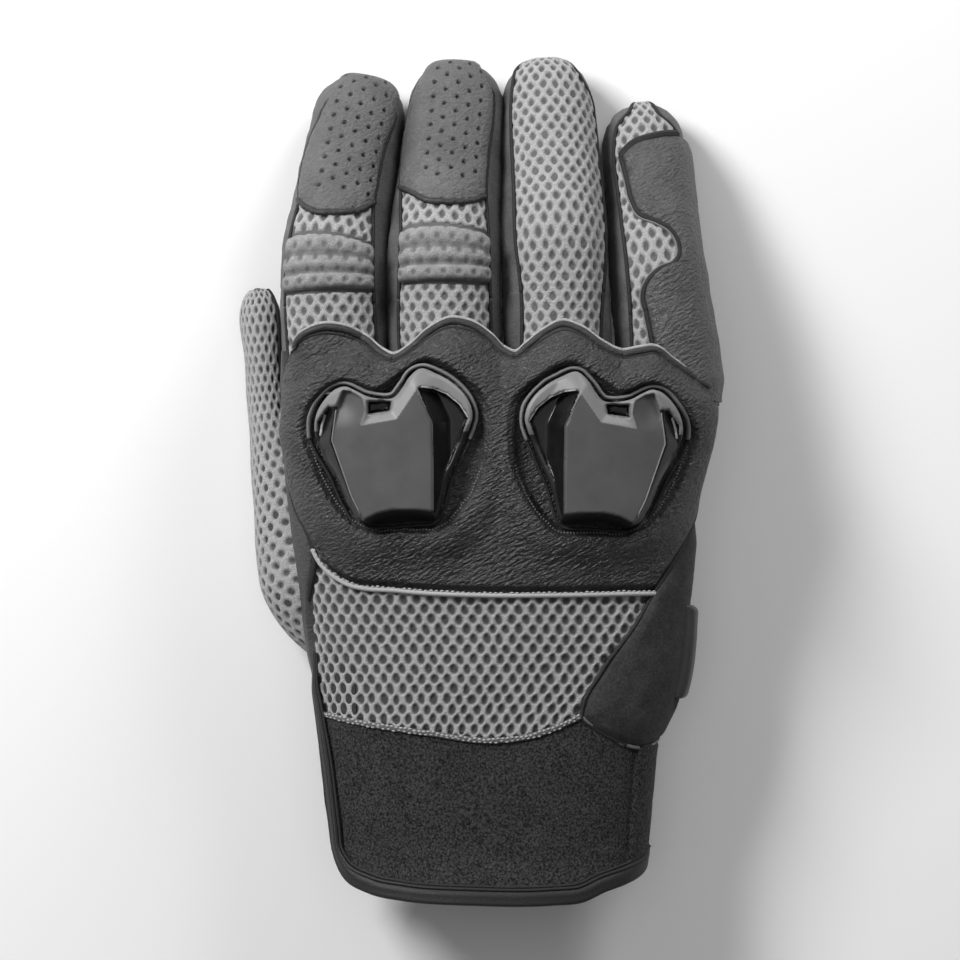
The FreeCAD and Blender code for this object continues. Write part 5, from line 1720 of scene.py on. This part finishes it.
def build_strap():
    """Wrist strap under the cuff with its hook and loop fastening."""
    y0, y1 = STRAP_Y
    loop = flat_patch((STRAP_X[0] + 4, STRAP_X[0] + 34), (y0 + 2, y1 - 2), 0.8, "loop_tape", 0.8,
                      thick=1.2, corner=6.0)
    add("loop_patch", [loop], "hook_and_loop", "hand", "loop_patch")
    sewn = flat_patch((STRAP_X[1] + 0.4, STRAP_X[1] + 8.0), (y0, y1), 2.8, "neoprene", 1.6,
                      spacing=0.7, thick=3.0, corner=4.0)
    add("strap_anchor", [sewn], "neoprene", "hand", "strap_anchor")
    for name, limits, low, high, material, slot in (
            ("hook_patch", (STRAP_X[0] + 2, STRAP_X[0] + 30), 1.1, 1.9, "hook_tape", "hook_and_loop"),
            ("strap_band", (STRAP_X[0] + 12.2, STRAP_X[1]), 1.9, 3.6, "neoprene", "neoprene"),
            ("strap_pull_tab", (STRAP_X[0], STRAP_X[0] + 12.0), 1.9, 3.7, "leather_side", "leather")):
        inset = 3.0 if name == "hook_patch" else 0.0
        made = strap_part(limits, (y0 + inset, y1 - inset), low, high, material)
        add(name, [made], slot, "closure_strap", name)


def strap_part(x_range, y_range, low, high, material):
    """Closed layer under the cuff between two heights."""
    spacing = 0.9
    x, y = np.meshgrid(evenly(x_range, spacing), evenly(y_range, spacing))
    x, y = rounded(x, y, x_range, y_range, 6.0)
    q = under_q(x, y)
    edge = border(q.shape, spacing)
    fall = rolled(edge, 1.2)
    h = low + (high - low) * (0.35 + 0.65 * fall)
    part = sheet_part(HAND, q[:, ::-1], y[:, ::-1], h[:, ::-1], material, None, high - low, closed=True)
    part.points[:, 2] = np.maximum(part.points[:, 2], 0.25)
    return part


# ---------------------------------------------------------------- assembly
build_knuckle_panel()
build_knuckle_lobes()
build_back_mesh()
build_suede_patch()
build_cuff()
build_guard("knuckle_guard_index_side", False)
build_guard("knuckle_guard_pinky_side", True)
build_welts()
for number, finger in enumerate(FINGERS):
    build_finger_skin(finger, 100 + 10 * number)
    build_finger_mesh(finger, 3 + number)
for finger in TIP_EDGES:
    build_finger_tip(finger, 31)
build_pinky_leather()
build_thumb()
build_palm()
build_side_band()
build_root_closure()
build_palm_pads()
build_slider()
build_strap()


# ---------------------------------------------------------------- floor, light and camera
FLOOR_HALF = 3.0           # metres
SKY = 0.15                 # strength of the white room
LIGHTS = (                 # name, place in millimetres, side in metres, watts
    ("key", (-600, 550, 620), 0.35, 11.0),
    ("top", (450, 800, 450), 0.35, 4.5),
    ("over", (0, 0, 1500), 0.9, 2.2),
)
LIGHT_AIM = (0, 0, 20)
LENS = 401.8
CAMERA_X = -0.28           # millimetres
CAMERA_HEIGHT = 3.03       # metres over the floor


def build_floor():
    """Plain pale floor."""
    mesh = bpy.data.meshes.new("floor")
    r = FLOOR_HALF
    mesh.from_pydata([(-r, -r, 0), (r, -r, 0), (r, r, 0), (-r, r, 0)], [], [(0, 1, 2, 3)])
    material = bpy.data.materials.new("floor")
    material.use_nodes = True
    bsdf = material.node_tree.nodes["Principled BSDF"]
    bsdf.inputs["Base Color"].default_value = (0.9, 0.9, 0.9, 1.0)
    bsdf.inputs["Roughness"].default_value = 0.95
    mesh.materials.append(material)
    floor = bpy.data.objects.new("floor", mesh)
    bpy.context.scene.collection.objects.link(floor)


def area_light(name, place_mm, size, power):
    """Soft square light that looks at the glove."""
    light = bpy.data.lights.new(name, "AREA")
    light.energy = power
    light.size = size
    obj = bpy.data.objects.new(name, light)
    obj.location = [c * MM for c in place_mm]
    toward = Vector([(a - p) * MM for a, p in zip(LIGHT_AIM, place_mm)])
    obj.rotation_euler = toward.to_track_quat("-Z", "Y").to_euler()
    bpy.context.scene.collection.objects.link(obj)


def build_lights():
    """White room and three soft lights."""
    world = bpy.data.worlds.new("studio")
    world.use_nodes = True
    world.node_tree.nodes["Background"].inputs["Color"].default_value = (1.0, 1.0, 1.0, 1.0)
    world.node_tree.nodes["Background"].inputs["Strength"].default_value = SKY
    bpy.context.scene.world = world
    for light in LIGHTS:
        area_light(*light)


def build_camera():
    """Long lens looking straight down."""
    camera = bpy.data.cameras.new("camera")
    camera.sensor_width = 36.0
    camera.lens = LENS
    camera.clip_start = 0.1
    camera.clip_end = 20.0
    camera.dof.use_dof = False
    obj = bpy.data.objects.new("camera", camera)
    obj.location = (CAMERA_X * MM, 0.0, CAMERA_HEIGHT)
    obj.rotation_euler = (0.0, 0.0, 0.0)
    bpy.context.scene.collection.objects.link(obj)
    bpy.context.scene.camera = obj


bpy.context.scene.view_settings.view_transform = "Standard"
build_floor()
build_lights()
build_camera()
